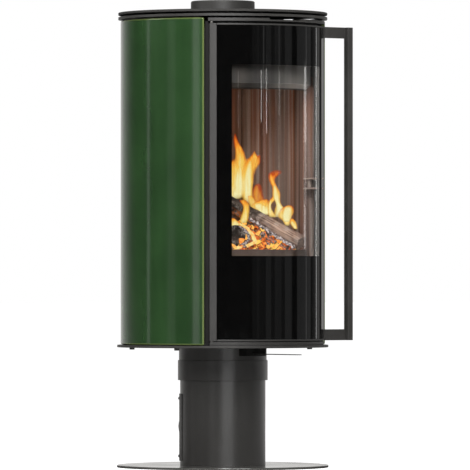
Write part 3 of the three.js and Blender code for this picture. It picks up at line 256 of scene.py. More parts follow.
floor = primitive(bpy.ops.mesh.primitive_plane_add, "floor", size=2 * FLOOR_HALF_WIDTH)
floor_paper = bpy.data.materials.new("floor_paper")
floor_paper.use_nodes = True
tree = floor_paper.node_tree
tree.nodes.clear()
where = spot_in(tree)
behind = where.vector("NORMALIZE").vector("DOT_PRODUCT", -toward_camera, "Value")
far = where.vector("LENGTH", output="Value").stretch(CLOTH_END, PAPER_START)
wide = behind.stretch(0.1, 0.95, 0.02, 0.78)
mirrored_glow = far.then("ShaderNodeMix", {2: wide, 3: mirror_paper(behind)})
matt = field(tree, "ShaderNodeBsdfDiffuse", {0: (0.8, 0.8, 0.8)})
white_glow, paper_mirrored = (field(tree, "ShaderNodeEmission", {0: colour, 1: strength})
                              for colour, strength in ((WHITE, FLOOR_GLOW), (WARM_WHITE, mirrored_glow)))
paper_seen = field(tree, "ShaderNodeAddShader", {0: matt, 1: white_glow})
seen, mirrored = ray_shares(tree)
add(tree, "ShaderNodeOutputMaterial", {0: seen.blend(mirrored.blend(matt, paper_mirrored), paper_seen)})
floor.data.materials.append(floor_paper)

# ---------------- floor plate
# The stove stands on a flat disc of steel plate, laser cut, its rim broken all round, and powder coated
# in a fine-grained anthracite. Its coat is painted lighter than the same anthracite elsewhere, as painted
# light.

FLOOR_PLATE_RADIUS, FLOOR_PLATE_THICKNESS = 0.259, 0.006
ROUND_DISC = 180


def wire(tree, **looks):
    """Gives the sockets of a material's shader their fields or plain values."""
    for label, value in looks.items():
        put(tree, tree.nodes["Principled BSDF"].inputs[label.replace("_", " ")], value)


def new_material(name, **plain):
    material = bpy.data.materials.new(name)
    material.use_nodes = True
    wire(material.node_tree, **plain)
    return material, material.node_tree


def finish_group(name, **inputs):
    """An empty node group, with what it is given and where each spot lies."""
    group = bpy.data.node_groups.new(name, "ShaderNodeTree")
    for label, value in inputs.items():
        kind = "Float" if isinstance(value, float) else "Color" if len(value) == 4 else "Vector"
        made = group.interface.new_socket(label.replace("_", " "), socket_type="NodeSocket" + kind)
        made.default_value = value
    for label, kind in (("Colour", "Color"), ("Roughness", "Float"), ("Normal", "Vector")):
        group.interface.new_socket(label, in_out="OUTPUT", socket_type="NodeSocket" + kind)
    given = {output.name: Field(group, output) for output in group.nodes.new("NodeGroupInput").outputs}
    return group, given, spot_in(group)


def finish_material(name, group, given, **plain):
    """A material whose colour, roughness and normal come from a group."""
    material, tree = new_material(name, **plain)
    surface = add(tree, "ShaderNodeGroup", given, node_tree=group).outputs
    wire(tree, Base_Color=Field(tree, surface["Colour"]), Roughness=Field(tree, surface["Roughness"]),
         Normal=Field(tree, surface["Normal"]))
    return material


# Fine-textured powder coat or paint, with dust and rubbed spots.
powder_coat, given, where = finish_group("powder_coat", Colour=(0.05, 0.05, 0.05, 1), Roughness=0.5,
                                         Grain_Depth=0.3, Dust=0.2)
cloud = where.noise(7, 5)
tone = cloud.stretch(0.3, 0.7, 0.9, 1.1) * where.noise(260, 2).stretch(0.3, 0.75, 0.93, 1.09)
dusty = cloud.stretch(0.5, 0.75) * given["Dust"]
add(powder_coat, "NodeGroupOutput", {
    "Colour": dusty.mix(given["Colour"].scaled(tone), (0.13, 0.125, 0.115)),
    "Roughness": given["Roughness"] + cloud.stretch(0.35, 0.7, -0.04, 0.06),
    "Normal": where.noise(900, 3).bump(given["Grain Depth"], 0.0002)})


def coat_material(name, colour, roughness, grain_depth, dust, specular):
    return finish_material(name, powder_coat, {"Colour": colour, "Roughness": roughness,
                                               "Grain Depth": grain_depth, "Dust": dust},
                           Specular_IOR_Level=specular)


ANTHRACITE_COLOUR = (0.0355, 0.0338, 0.0316)
anthracite = coat_material("anthracite_coat", ANTHRACITE_COLOUR, 0.5, 0.25, 0.1, 0.5)
# Painted light: the floor plate's copy of the anthracite coat is painted about twice as light.
floor_plate_lit_coat = coat_material("floor_plate_lit_coat", (0.075, 0.072, 0.068), 0.12, 0.0, 0.1, 0.9)
column_coat = coat_material("column_coat", (0.034, 0.0325, 0.0305), 0.32, 0.12, 0.06, 0.75)


def modified(piece, kind, **settings):
    """A modifier, put on a piece and applied."""
    bpy.context.view_layer.objects.active = piece
    made = piece.modifiers.new("step", kind)
    for setting, value in settings.items():
        setattr(made, setting, value)
    bpy.ops.object.modifier_apply(modifier=made.name)


def rounded(piece, width, segments=2, angle=40):
    """Rounds a piece's sharp edges for good."""
    modified(piece, "BEVEL", width=width, segments=segments, limit_method="ANGLE",
             angle_limit=math.radians(angle))


def fitted(piece, body, material, slot, *nodes, soft=0.0, segments=2):
    """Softens a piece's edges, paints it, mounts it on its body and puts it in its CAD nodes' place."""
    if soft:
        rounded(piece, soft, segments)
    piece.data.materials.clear()
    piece.data.materials.append(material)
    bpy.ops.object.select_all(action="DESELECT")
    piece.select_set(True)
    bpy.context.view_layer.objects.active = piece
    bpy.ops.object.shade_smooth_by_angle(angle=math.radians(30))
    # The big faces keep their own direction, so a rounded edge doesn't bend the mirror images in them.
    modified(piece, "WEIGHTED_NORMAL", keep_sharp=True)
    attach(piece, body)
    if nodes:
        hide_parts(*nodes)
    return piece


def coated(piece, body, *nodes, coat=anthracite, **edges):
    return fitted(piece, body, coat, "anthracite_paint", *nodes, **edges)


@contextmanager
def editing(piece):
    """Edit mode, with the whole mesh selected."""
    bpy.context.view_layer.objects.active = piece
    bpy.ops.object.mode_set(mode="EDIT")
    bpy.ops.mesh.select_all(action="SELECT")
    yield
    bpy.ops.object.mode_set(mode="OBJECT")


def close(threshold=1e-6):
    """Merges doubled points and turns every face outwards, in edit mode."""
    bpy.ops.mesh.select_all(action="SELECT")
    bpy.ops.mesh.remove_doubles(threshold=threshold)
    bpy.ops.mesh.normals_make_consistent(inside=False)


def cylinder(name, radius, depth, location, sides, **settings):
    return primitive(bpy.ops.mesh.primitive_cylinder_add, name, vertices=sides, radius=radius, depth=depth,
                     location=location, **settings)


def disc(name, radius, low, high):
    """A solid disc on the stove's axis."""
    return cylinder(name, radius, high - low, (0, 0, (low + high) / 2), ROUND_DISC)


floor_plate = disc("floor_plate_disc", FLOOR_PLATE_RADIUS, 0, FLOOR_PLATE_THICKNESS)
coated(floor_plate, "pedestal", "floor_plate", coat=floor_plate_lit_coat, soft=0.0009, segments=3)

# ---------------- column
# A welded steel tube with a service opening at the back, powder coated. A bent sheet covers the opening,
# held by four pan-head screws, and the air stub comes out through it.

COLUMN_RADIUS, COLUMN_WALL = 0.1045, 0.003
COLUMN_BASE, COLUMN_TOP = 0.0063, 0.232
COVER_INNER = COLUMN_RADIUS + 0.0003
COVER_OUTER = COVER_INNER + 0.002
COVER_BASE, COVER_TOP = 0.016, 0.180
COVER_HALF_ANGLE = 71.0
STUB_HOLE_RADIUS, STUB_HEIGHT = 0.041, 0.098
SERVICE_OPENING = ((-0.06, 0.03, 0.0413), (0.06, 0.14, 0.1453))
SCREW_ANGLE, SCREW_INSET = 52.0, 0.0115
SCREW_RADIUS, SCREW_FLATNESS, SOCKET_RADIUS = 0.0036, 0.72, 0.0014


def ring(inner, outer, low, high):
    """The loop of profile points of a plain ring or bar."""
    return [(inner, low), (outer, low), (outer, high), (inner, high)]


def turned(name, profile, sides=ROUND_DISC):
    """A closed piece turned round the stove's axis from a loop of (radius, height) points."""
    piece = primitive(bpy.ops.mesh.primitive_circle_add, name, vertices=sides, radius=profile[0][0],
                      location=(0, 0, profile[0][1]))
    with editing(piece):
        for (radius, height), (next_radius, next_height) in zip(profile, profile[1:] + profile[:1]):
            bpy.ops.mesh.extrude_region_move(TRANSFORM_OT_translate={"value": (0, 0, next_height - height)})
            bpy.ops.transform.resize(value=(next_radius / radius, next_radius / radius, 1))
        close(1e-5)
    return piece


def swept(name, profile, start, end, step=1.0):
    """A loop of (radius, height) points drawn round the stove's axis from one angle to another."""
    piece = primitive(bpy.ops.mesh.primitive_circle_add, name, vertices=len(profile), fill_type="NGON")
    for corner, (radius, height) in zip(piece.data.vertices, profile):
        corner.co = around(start, radius, height)
    with editing(piece):
        bpy.ops.mesh.spin(steps=max(1, round((end - start) / step)), angle=-math.radians(end - start),
                          center=(0, 0, 0), axis=(0, 0, 1))
        close()
    return piece


def cut_away(piece, tool):
    """Cuts the tool's shape out of a piece and throws the tool away."""
    modified(piece, "BOOLEAN", operation="DIFFERENCE", solver="EXACT", object=tool)
    bpy.data.objects.remove(tool)


def bent(name, profile, angles, *nodes, step=1.0, soft=0.0006, segments=2, cuts=(), body="stove",
         coat=anthracite, slot="anthracite_paint"):
    """A bar or plate bent round the stove: swept, cut, its edges softened, and fitted in its place."""
    piece = swept(name, profile, *sorted(angles), step)
    for tool in cuts:
        cut_away(piece, tool)
    return fitted(piece, body, coat, slot, *nodes, soft=soft, segments=segments)


def block(name, low, high):
    """A rectangular block between two corners."""
    low, high = Vector(low), Vector(high)
    return primitive(bpy.ops.mesh.primitive_cube_add, name, high - low, size=1, location=(low + high) / 2)


def copy_of(piece, name, move=Matrix()):
    """A copy of a piece with a mesh of its own, moved there."""
    made = piece.copy()
    made.data = piece.data.copy()
    scene.collection.objects.link(made)
    made.name = made.data.name = name
    made.data.transform(move)
    return made


def spun(angle, axis="Z"):
    return Matrix.Rotation(math.radians(angle), 4, axis)


column = turned("column", ring(COLUMN_RADIUS - COLUMN_WALL, COLUMN_RADIUS, COLUMN_BASE, COLUMN_TOP))
cut_away(column, block("service_opening", *SERVICE_OPENING))
coated(column, "pedestal", "column_tube", coat=column_coat)
stub_hole = cylinder("stub_hole", STUB_HOLE_RADIUS, 0.12, (0, 0.11, STUB_HEIGHT), 64,
                     rotation=(math.pi / 2, 0, 0))
bent("rear_cover", ring(COVER_INNER, COVER_OUTER, COVER_BASE, COVER_TOP),
     (180 - COVER_HALF_ANGLE, 180 + COVER_HALF_ANGLE), "column_rear_cover", step=2, soft=0.0004, segments=1,
     cuts=(stub_hole,), body="pedestal")

# Pan-head screws with a hexagon socket, of zinc-plated steel painted over.
screw = primitive(bpy.ops.mesh.primitive_uv_sphere_add, "screw", (1, 1, SCREW_FLATNESS), segments=24,
                  ring_count=12, radius=SCREW_RADIUS)
with editing(screw):
    bpy.ops.mesh.bisect(plane_co=(0, 0, 0.0001), plane_no=(0, 0, 1), clear_inner=True, use_fill=True)
cut_away(screw, cylinder("socket", SOCKET_RADIUS, 0.004, (0, 0, SCREW_RADIUS), 6))
screw_heights = (COVER_BASE + SCREW_INSET, COVER_TOP - SCREW_INSET)
for number, (side, height) in enumerate([(side, height) for side in (-1, 1) for height in screw_heights], 1):
    lay = Matrix.Translation((0, 0, height)) @ spun(side * SCREW_ANGLE)
    lay = lay @ Matrix.Translation((0, COVER_OUTER, 0)) @ spun(-90, "X")
    coated(copy_of(screw, "cover_screw_" + str(number), lay), "pedestal")
bpy.data.objects.remove(screw)

# ---------------- air stub and bearing
# The combustion air enters at the back through a spiral-seamed tin pipe. Inside, the stove turns on a
# machined steel hub with a bronze slide ring, greased for life and hidden by the collar.

# Bare metal: fine scratches one way, and grey stains.
worked_metal, given, where = finish_group("worked_metal", Colour=(0.3, 0.3, 0.3, 1), Roughness=0.4,
                                          Scratch_Stretch=(400, 400, 8), Stain=0.4)
scratch = where.vector("MULTIPLY", given["Scratch Stretch"]).noise(1.0, 4)
stained = where.noise(22, 6).stretch(0.45, 0.7) * given["Stain"]
scratched = given["Colour"].scaled(scratch.stretch(0.3, 0.7, 0.85, 1.15))
add(worked_metal, "NodeGroupOutput", {
    "Colour": stained.mix(scratched, (0.09, 0.075, 0.062)),
    "Roughness": given["Roughness"] + scratch.stretch(0.3, 0.7, -0.06, 0.1),
    "Normal": scratch.bump(0.15, 0.0003)})


def metal_material(name, colour, roughness, scratch_stretch, stain, metallic=1.0):
    return finish_material(name, worked_metal, {"Colour": colour, "Roughness": roughness,
                                                "Scratch Stretch": scratch_stretch, "Stain": stain},
                           Metallic=metallic)


def paint_nodes(material, *names):
    """Gives CAD nodes that keep their own shape their finish."""
    for name in names:
        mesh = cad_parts[name].data
        mesh.materials.clear()
        mesh.materials.append(material)


bare_steel = metal_material("bare_steel", (0.36, 0.35, 0.33), 0.38, (500, 500, 12), 0.3)
paint_nodes(bare_steel, "air_duct", "bearing_hub", "retaining_ring", "turntable_ring", "air_valve_body",
            "air_gate", "air_box", "air_riser", "hinge_pin_lower", "hinge_pin_upper", "ash_pan")
paint_nodes(metal_material("bearing_bronze", (0.42, 0.27, 0.1), 0.32, (60, 60, 900), 0.2), "slide_ring")

# ---------------- swivel collar, neck and bottom plate
# The neck hangs under the bottom plate and turns on the column. A loose sleeve hides the joint. The
# plate is laser cut; four hexagon bolts with washers hold the firebox to it.

COLLAR_RING = ring(0.1077, 0.110, 0.213, 0.262)
NECK_RING = ring(0.1044, 0.1074, 0.2449, 0.2932)
NECK_SLOT = ((-0.02, -0.13, 0.274), (0.02, -0.08, 0.282))
BOTTOM_PLATE_RADIUS, BOTTOM_PLATE_BASE, BOTTOM_PLATE_TOP = 0.2585, 0.2935, 0.2995
AIR_HOLE_RADIUS = 0.04
BOLT_CIRCLE_RADIUS, BOLT_ANGLES = 0.222, (-128, -68, 68, 128)
BOLT_RADIUS, BOLT_HEIGHT, BOLT_MIDDLE = 0.0065, 0.0052, -0.0034
WASHER_RADIUS, WASHER_HEIGHT = 0.0068, 0.0012

coated(turned("collar_sleeve", COLLAR_RING), "stove", "swivel_collar", coat=column_coat, soft=0.0006)
neck = turned("neck", NECK_RING)
cut_away(neck, block("neck_slot", *NECK_SLOT))
coated(neck, "stove", "neck_tube", coat=column_coat)

bottom_plate = disc("bottom_plate_disc", BOTTOM_PLATE_RADIUS, BOTTOM_PLATE_BASE, BOTTOM_PLATE_TOP)
cut_away(bottom_plate, cylinder("air_hole", AIR_HOLE_RADIUS, 0.02, (0, 0, BOTTOM_PLATE_TOP), 64))
coated(bottom_plate, "stove", "bottom_plate", soft=0.0009, segments=3)


def joined(name, pieces):
    """Several pieces made one."""
    bpy.ops.object.select_all(action="DESELECT")
    for piece in pieces:
        piece.select_set(True)
    bpy.context.view_layer.objects.active = pieces[0]
    bpy.ops.object.join()
    pieces[0].name = pieces[0].data.name = name
    return pieces[0]


bolt = cylinder("bolt", BOLT_RADIUS, BOLT_HEIGHT, (0, 0, BOLT_MIDDLE), 6)
rounded(bolt, 0.0006)
washer = cylinder("washer", WASHER_RADIUS, WASHER_HEIGHT, (0, 0, -WASHER_HEIGHT / 2), 32)
bolt = joined("bolt", [bolt, washer])
for number, angle in enumerate(BOLT_ANGLES, 1):
    move = Matrix.Translation(around(angle, BOLT_CIRCLE_RADIUS, BOTTOM_PLATE_BASE))
    coated(copy_of(bolt, "plate_bolt_" + str(number), move), "stove")
bpy.data.objects.remove(bolt)

# ---------------- air lever
# A flat strip of steel with a rounded tip is drawn out to open the air. It slides through a small bridge
# under the plate, coated near-black as painted shade.

LEVER_BASE, LEVER_TOP = 0.277, 0.279
LEVER_HALF_WIDTH = 0.010
LEVER_REAR, LEVER_TIP = -0.0723, -0.302

tip_middle = LEVER_TIP + LEVER_HALF_WIDTH
lever = block("lever_strip", (-LEVER_HALF_WIDTH, tip_middle, LEVER_BASE),
              (LEVER_HALF_WIDTH, LEVER_REAR, LEVER_TOP))
tip = cylinder("tip", LEVER_HALF_WIDTH, LEVER_TOP - LEVER_BASE,
               (0, tip_middle, (LEVER_BASE + LEVER_TOP) / 2), 48)
modified(lever, "BOOLEAN", operation="UNION", solver="EXACT", object=tip)
bpy.data.objects.remove(tip)
coated(lever, "air_lever", "air_lever", soft=0.0004)
# Painted shade: a near-black coat stands in for the shade on the bridge under the plate and on the door
# jambs.
shade_black_steel = coat_material("shade_black_steel", (0.010, 0.0094, 0.009), 0.6, 0.3, 0.05, 0.2)
paint_nodes(shade_black_steel, "lever_guide")

# ---------------- glazed tiles
# Two tall stoneware shells, cast and fired, with a deep green transparent glaze. The glaze runs thin
# over the rounded edges, where it turns yellow-green, and pools darker in the middle.

TILE_INNER, TILE_OUTER = 0.239, 0.250
TILE_BASE, TILE_TOP = 0.301, 1.0905
TILE_FRONT_ANGLE, TILE_REAR_ANGLE = 48.6, 147.4
TILE_ROUND = 0.003

green_glaze, tree = new_material("green_glaze", Roughness=0.14, IOR=1.52, Coat_Weight=0.35,
                                 Coat_Roughness=0.03)
where = spot_in(tree)
# The angle from the middle of the door, either way, and the distance from the nearest edge in metres.
turn = where.part("X").maths("ABSOLUTE").maths("ARCTAN2", where.part("Y") * -1.0)
from_front = (turn - math.radians(TILE_FRONT_ANGLE)) * TILE_OUTER
from_rear = (turn - math.radians(TILE_REAR_ANGLE)) * -TILE_OUTER
from_top = where.part("Z") * -1.0 + TILE_TOP
from_base = where.part("Z") - TILE_BASE
from_edge = from_front.maths("MINIMUM", from_rear).maths("MINIMUM", from_top.maths("MINIMUM", from_base))
cloud = where.noise(9, 4)
depth = where.vector("MULTIPLY", (14, 14, 1.6)).noise(1.0, 5) * 0.6 + cloud * 0.4
pooled = depth.stretch(0.36, 0.64).mix((0.0150, 0.0395, 0.0132), (0.0245, 0.063, 0.0205))
specked = where.noise(420, 2).stretch(0.62, 0.72, 0, 0.5).mix(pooled, (0.012, 0.035, 0.010))
wire(tree, Base_Color=from_edge.stretch(0.0008, 0.0045, 1, 0).mix(specked, (0.16, 0.21, 0.065)),
     Normal=cloud.bump(0.12, 0.004))
for name, side, node_name in (("left_glazed_tile", -1, "left_tile"), ("right_glazed_tile", 1, "right_tile")):
    bent(name, ring(TILE_INNER, TILE_OUTER, TILE_BASE, TILE_TOP),
         (side * TILE_FRONT_ANGLE, side * TILE_REAR_ANGLE), node_name, step=0.8, soft=TILE_ROUND, segments=4,
         coat=green_glaze, slot="green_glaze")

# ---------------- rear panel
# A bent steel sheet, powder coated like the plates, closes the back between the tiles. Two rows of
# upright slots let the room air through.

REAR_HALF_ANGLE = 32.0
PART_SEAT = BOTTOM_PLATE_TOP + 0.0003
REAR_RING = ring(0.247, 0.249, PART_SEAT, TILE_TOP)
SLOT_HALF_WIDTH, SLOT_HALF_HEIGHT, SLOT_NEAR, SLOT_FAR = 0.004, 0.03, 0.229, 0.269
SLOT_HEIGHTS, SLOT_STEP = (0.37875, 1.01035), 6

slots = []
for slot_number in range(-3, 4):
    for height in SLOT_HEIGHTS:
        slot = block("slot", (-SLOT_HALF_WIDTH, SLOT_NEAR, height - SLOT_HALF_HEIGHT),
                     (SLOT_HALF_WIDTH, SLOT_FAR, height + SLOT_HALF_HEIGHT))
        slot.data.transform(spun(slot_number * SLOT_STEP))
        slots.append(slot)
bent("rear_sheet", REAR_RING, (180 - REAR_HALF_ANGLE, 180 + REAR_HALF_ANGLE), "rear_panel", soft=0,
     cuts=slots)

# ---------------- top plates and flue collar
# The warm air leaves through a cast wheel of spokes under a flat round plate. The flue collar is a
# pressed steel ring with a rolled rim, and it stands on the firebox.

PLATE_BORE, PLATE_RADIUS = 0.0792, 0.2558
VENT_BASE, VENT_TOP = 1.094, 1.100
LID_BASE, LID_TOP = 1.105, 1.111
SKIRT_RING, SKIRT_ANGLES = ring(0.2402, 0.2414, 1.0908, VENT_BASE - 0.0002), (50, 310)
SPOKE_TURN, SPOKE_HALF_WIDTH, SPOKE_REACH = 33.5, 0.011, 0.26
WINDOW_INNER, WINDOW_OUTER = 0.098, 0.2398
SPACER_CIRCLE_RADIUS, SPACER_RADIUS, SPACER_HEIGHT = 0.190, 0.008, 0.0047
FLUE_RADIUS, FLUE_INNER, FLUE_MOUTH, FLUE_ROUND = 0.0782, 0.0762, 0.0682, 0.004
FLUE_BASE, FLUE_TOP = 1.0668, 1.140

wheel = turned("vent_wheel", ring(PLATE_BORE, PLATE_RADIUS, VENT_BASE, VENT_TOP))
windows = turned("vent_windows", ring(WINDOW_INNER, WINDOW_OUTER, VENT_BASE - 0.002, VENT_TOP + 0.002), 120)
for number in range(3):
    spoke = block("spoke", (-SPOKE_HALF_WIDTH, -SPOKE_REACH, VENT_BASE - 0.004),
                  (SPOKE_HALF_WIDTH, SPOKE_REACH, VENT_TOP + 0.004))
    spoke.data.transform(spun(SPOKE_TURN + 60 * number))
    cut_away(windows, spoke)
cut_away(wheel, windows)
coated(wheel, "stove", "vent_plate", soft=0.0007)

# A strip under the wheel keeps the warm air from the tiles.
bent("vent_skirt", SKIRT_RING, SKIRT_ANGLES, step=2, soft=0)

lid_coat = coat_material("lid_coat", ANTHRACITE_COLOUR, 0.78, 0.25, 0.1, 0.4)
lid = turned("top_plate_disc", ring(PLATE_BORE, PLATE_RADIUS, LID_BASE, LID_TOP))
coated(lid, "stove", "top_plate", coat=lid_coat, soft=0.0009, segments=3)
for number in range(3):
    place = around(SPOKE_TURN + 60 + 120 * number, SPACER_CIRCLE_RADIUS, VENT_TOP + SPACER_HEIGHT / 2)
    coated(cylinder("plate_spacer_" + str(number + 1), SPACER_RADIUS, SPACER_HEIGHT, place, 32), "stove")

flue_profile = [(FLUE_INNER, FLUE_BASE), (FLUE_RADIUS, FLUE_BASE)]
for angle in range(0, 91, 15):
    turn = math.radians(angle)
    flue_profile.append((FLUE_RADIUS - FLUE_ROUND + FLUE_ROUND * math.cos(turn),
                         FLUE_TOP - FLUE_ROUND + FLUE_ROUND * math.sin(turn)))
flue_profile += [(FLUE_MOUTH, FLUE_TOP), (FLUE_MOUTH, FLUE_TOP - 0.002), (FLUE_INNER, FLUE_TOP - 0.010)]
coated(turned("flue_ring", flue_profile, 128), "stove", "flue_collar")

# ---------------- firebox carcass
# The firebox is welded from steel plate and painted with heat-resistant paint, which has gone grey and
# sooty near the fire. The sill, the header and two jambs frame the door.

FRAME_INNER, FRAME_OUTER = 0.229, 0.233
FRAME_BASE, FRAME_TOP = 0.3087, 1.0817
DOOR_ANGLES = (-45.4, 45.4)
FIRE_OPENING_ANGLE, FIRE_OPENING_BASE, FIRE_OPENING_TOP = 37.0, 0.505, 0.985
ASH_OPENING_ANGLE, ASH_OPENING_BASE, ASH_OPENING_TOP = 27.0, 0.382, 0.466
SILL_TOP, HEADER_BASE, HEADER_TOP = 0.3084, 1.082, 1.0895
HEADER_HALF_ANGLE = 46.2
NOTCH_DEPTH, NOTCH_HALF_ANGLE = 0.0037, 11.0
CUT_INNER, CUT_OUTER = 0.21, 0.26
LATCH_SLOT = ((0.152, -0.24, 0.6783), (0.167, -0.13, 0.7083))
EAR_LEVELS, EAR_THICKNESS = (0.6793, 0.7033), 0.004
EAR_LEFT, EAR_RIGHT, EAR_FRONT, EAR_REAR = 0.138, 0.156, -0.2, -0.142
JAMB_INNER, JAMB_OUTER, JAMB_ANGLES = 0.2283, 0.239, (46.0, 48.3)
SILL_OUTER, HEADER_INNER, HEADER_OUTER = 0.248, 0.224, 0.250

firebox_paint = coat_material("firebox_paint", (0.02, 0.0185, 0.0175), 0.62, 0.4, 0.12, 0.35)
paint_nodes(firebox_paint, "firebox_shell", "firebox_top", "ash_shelf", "firebox_floor", "baffle_upper")


def cutter(low, high, half_angle):
    """A bent block that reaches through any part of the front."""
    return swept("cut", ring(CUT_INNER, CUT_OUTER, low, high), -half_angle, half_angle)


bent("fire_front", ring(FRAME_INNER, FRAME_OUTER, FRAME_BASE, FRAME_TOP), DOOR_ANGLES, "front_frame",
     coat=firebox_paint, cuts=(cutter(FIRE_OPENING_BASE, FIRE_OPENING_TOP, FIRE_OPENING_ANGLE),
                               cutter(ASH_OPENING_BASE, ASH_OPENING_TOP, ASH_OPENING_ANGLE),
                               block("cut", *LATCH_SLOT)))
# The heat has dulled the latch roller, its two ears and the tongue to a pale grey-brown.
dulled_steel = coat_material("dulled_steel", (0.20, 0.165, 0.15), 0.75, 0.4, 0.1, 0.3)
paint_nodes(dulled_steel, "latch_roller", "latch_tongue")
for number, level in enumerate(EAR_LEVELS, 1):
    ear = block("roller_ear_" + str(number), (EAR_LEFT, EAR_FRONT, level),
                (EAR_RIGHT, EAR_REAR, level + EAR_THICKNESS))
    coated(ear, "stove", coat=dulled_steel, soft=0.0005)
# Painted shade: the jambs in the gap beside the door get the near-black coat.
for name, side, node_name in (("left_door_jamb", -1, "left_jamb"), ("right_door_jamb", 1, "right_jamb")):
    bent(name, ring(JAMB_INNER, JAMB_OUTER, PART_SEAT, FRAME_TOP), [side * angle for angle in JAMB_ANGLES],
         node_name, step=0.6, coat=shade_black_steel)
bent("sill_bar", ring(FRAME_INNER, SILL_OUTER, PART_SEAT, SILL_TOP), DOOR_ANGLES, "front_sill", soft=0.0008)
bent("header_bar", ring(HEADER_INNER, HEADER_OUTER, HEADER_BASE, HEADER_TOP),
     (-HEADER_HALF_ANGLE, HEADER_HALF_ANGLE), "front_header", soft=0.0008,
     cuts=(cutter(HEADER_TOP - NOTCH_DEPTH, HEADER_TOP + 0.01, NOTCH_HALF_ANGLE),))

# ---------------- firebox lining
# Boards of pressed vermiculite line the fire chamber. The fire has baked them red-brown, and soot and
# ash run down them in upright streaks. The baffle over the fire is the same board.

BRICK_RING = ring(0.1954, 0.2234, 0.5146, 0.9306)
BRICK_JOINT = 0.2

vermiculite, tree = new_material("vermiculite", Roughness=0.9, Specular_IOR_Level=0.2)
where = spot_in(tree)
streak = where.vector("MULTIPLY", (70, 70, 1.1)).noise(1.0, 6)
band = where.vector("MULTIPLY", (22, 22, 1.5)).noise(1.0, 3)
flake = where.cells(330)
baked = band.stretch(0.42, 0.58).mix((0.17, 0.085, 0.058), (0.13, 0.105, 0.095))
sooty = streak.stretch(0.34, 0.48, 1, 0).mix(baked, (0.045, 0.025, 0.018))
ashen = streak.stretch(0.54, 0.66, 0, 0.75).mix(sooty, (0.30, 0.29, 0.28))
wire(tree, Base_Color=flake.stretch(0.0, 0.35, 0.25, 0).mix(ashen, (0.03, 0.02, 0.017)),
     Normal=flake.bump(0.5, 0.0012))
for name, start, end in (("brick_left", -128, -50.5), ("brick_right", 50.5, 128), ("brick_rear", 128, 232)):
    bent(name + "_board", BRICK_RING, (start + BRICK_JOINT, end - BRICK_JOINT), name, soft=0.0015,
         coat=vermiculite, slot="vermiculite")
paint_nodes(vermiculite, "brick_floor", "baffle_lower")

# ---------------- air-wash deflector
# A folded sheet under the top of the fire opening sends air down the inside of the glass. The heat has
# blued and greyed it. Its colour holds painted light and shade: a painted shadow along its lower edge, the
# side next to the latch painted paler, the angled lip painted brighter and the hinge side painted darker.

DEFLECTOR_HALF_ANGLE = 41.0
DEFLECTOR_PROFILE = [(0.2287, 0.991), (0.2287, 0.993), (0.2157, 0.993), (0.2157, 0.934), (0.2037, 0.921),
                     (0.2051, 0.9196), (0.2177, 0.9332), (0.2177, 0.991)]

scorched_steel = metal_material("scorched_steel", (0.020, 0.0195, 0.019), 0.6, (110, 110, 2), 0.45, 0.4)
tree = scorched_steel.node_tree
where = spot_in(tree)
sheet = Field(tree, tree.nodes["Principled BSDF"].inputs["Base Color"].links[0].from_socket)
# Painted light: the side next to the latch is painted paler.
sheet = where.part("X").stretch(-0.03, 0.10, 0.0, 0.55).mix(sheet, (0.34, 0.33, 0.315))
# Painted light and shade: the angled lip at the bottom is painted brighter, and the hinge side darker.
painted_light_and_shade = where.part("Z").stretch(0.9335, 0.9342, 2.2, 1.0) * where.part("X").stretch(-0.11, -0.03, 0.45, 1.0)
sheet = sheet.scaled(painted_light_and_shade)
# Painted shade: a near-black band along the lower edge stands in for the shade under it.
wire(tree, Base_Color=where.part("Z").stretch(0.9215, 0.9235, 0.12, 1.0).mix((0.004, 0.004, 0.004), sheet))
bent("deflector_sheet", DEFLECTOR_PROFILE, (-DEFLECTOR_HALF_ANGLE, DEFLECTOR_HALF_ANGLE), "airwash_deflector",
     soft=0, coat=scorched_steel, slot="bare_steel")

# ---------------- grate and log retainer
# The grate is cast iron, and so is the low angle that keeps the embers off the glass. Both are burnt
# brown-black and dusted with ash.

RETAINER_PROFILE = [(0.1954, 0.5146), (0.2134, 0.5146), (0.2134, 0.5316), (0.2094, 0.5316), (0.2094, 0.5176),
                    (0.1954, 0.5176)]

paint_nodes(coat_material("cast_iron", (0.014, 0.0125, 0.012), 0.75, 0.9, 0.3, 0.3), "grate")
ashen_iron = coat_material("ashen_iron", (0.052, 0.035, 0.028), 0.8, 0.9, 0.3, 0.3)
bent("retainer_angle", RETAINER_PROFILE, (-FIRE_OPENING_ANGLE, FIRE_OPENING_ANGLE), "log_retainer",
     soft=0.0008, coat=ashen_iron, slot="cast_iron")

# ---------------- door frame and stiles
# The door is a steel frame bent to the stove's radius. Its two stiles show beside the glass. Clips on the
# inside hold the pane, and a round rope of glass fibre seals the door against the fire front.

DOOR_BASE, DOOR_TOP = 0.3103, 1.0763
DOOR_INNER, DOOR_OUTER = 0.236, 0.250
DOOR_FRAME_INNER, DOOR_FRAME_OUTER = 0.2401, 0.2457
STILE_ANGLE = 4.0
PANE_ANGLES = (-41.3, 41.3)
LIP_HEIGHT = 0.004
GLASS_WINDOW_ANGLE, GLASS_WINDOW_BASE, GLASS_WINDOW_TOP = 33.0, 0.516, 0.977
CLIP_INNER, CLIP_OFFSET, CLIP_HALF_ANGLE, CLIP_HALF_HEIGHT = 0.2371, 3.1, 1.4, 0.006
CLIP_LEVELS = (GLASS_WINDOW_BASE + 0.008, GLASS_WINDOW_TOP - 0.006)

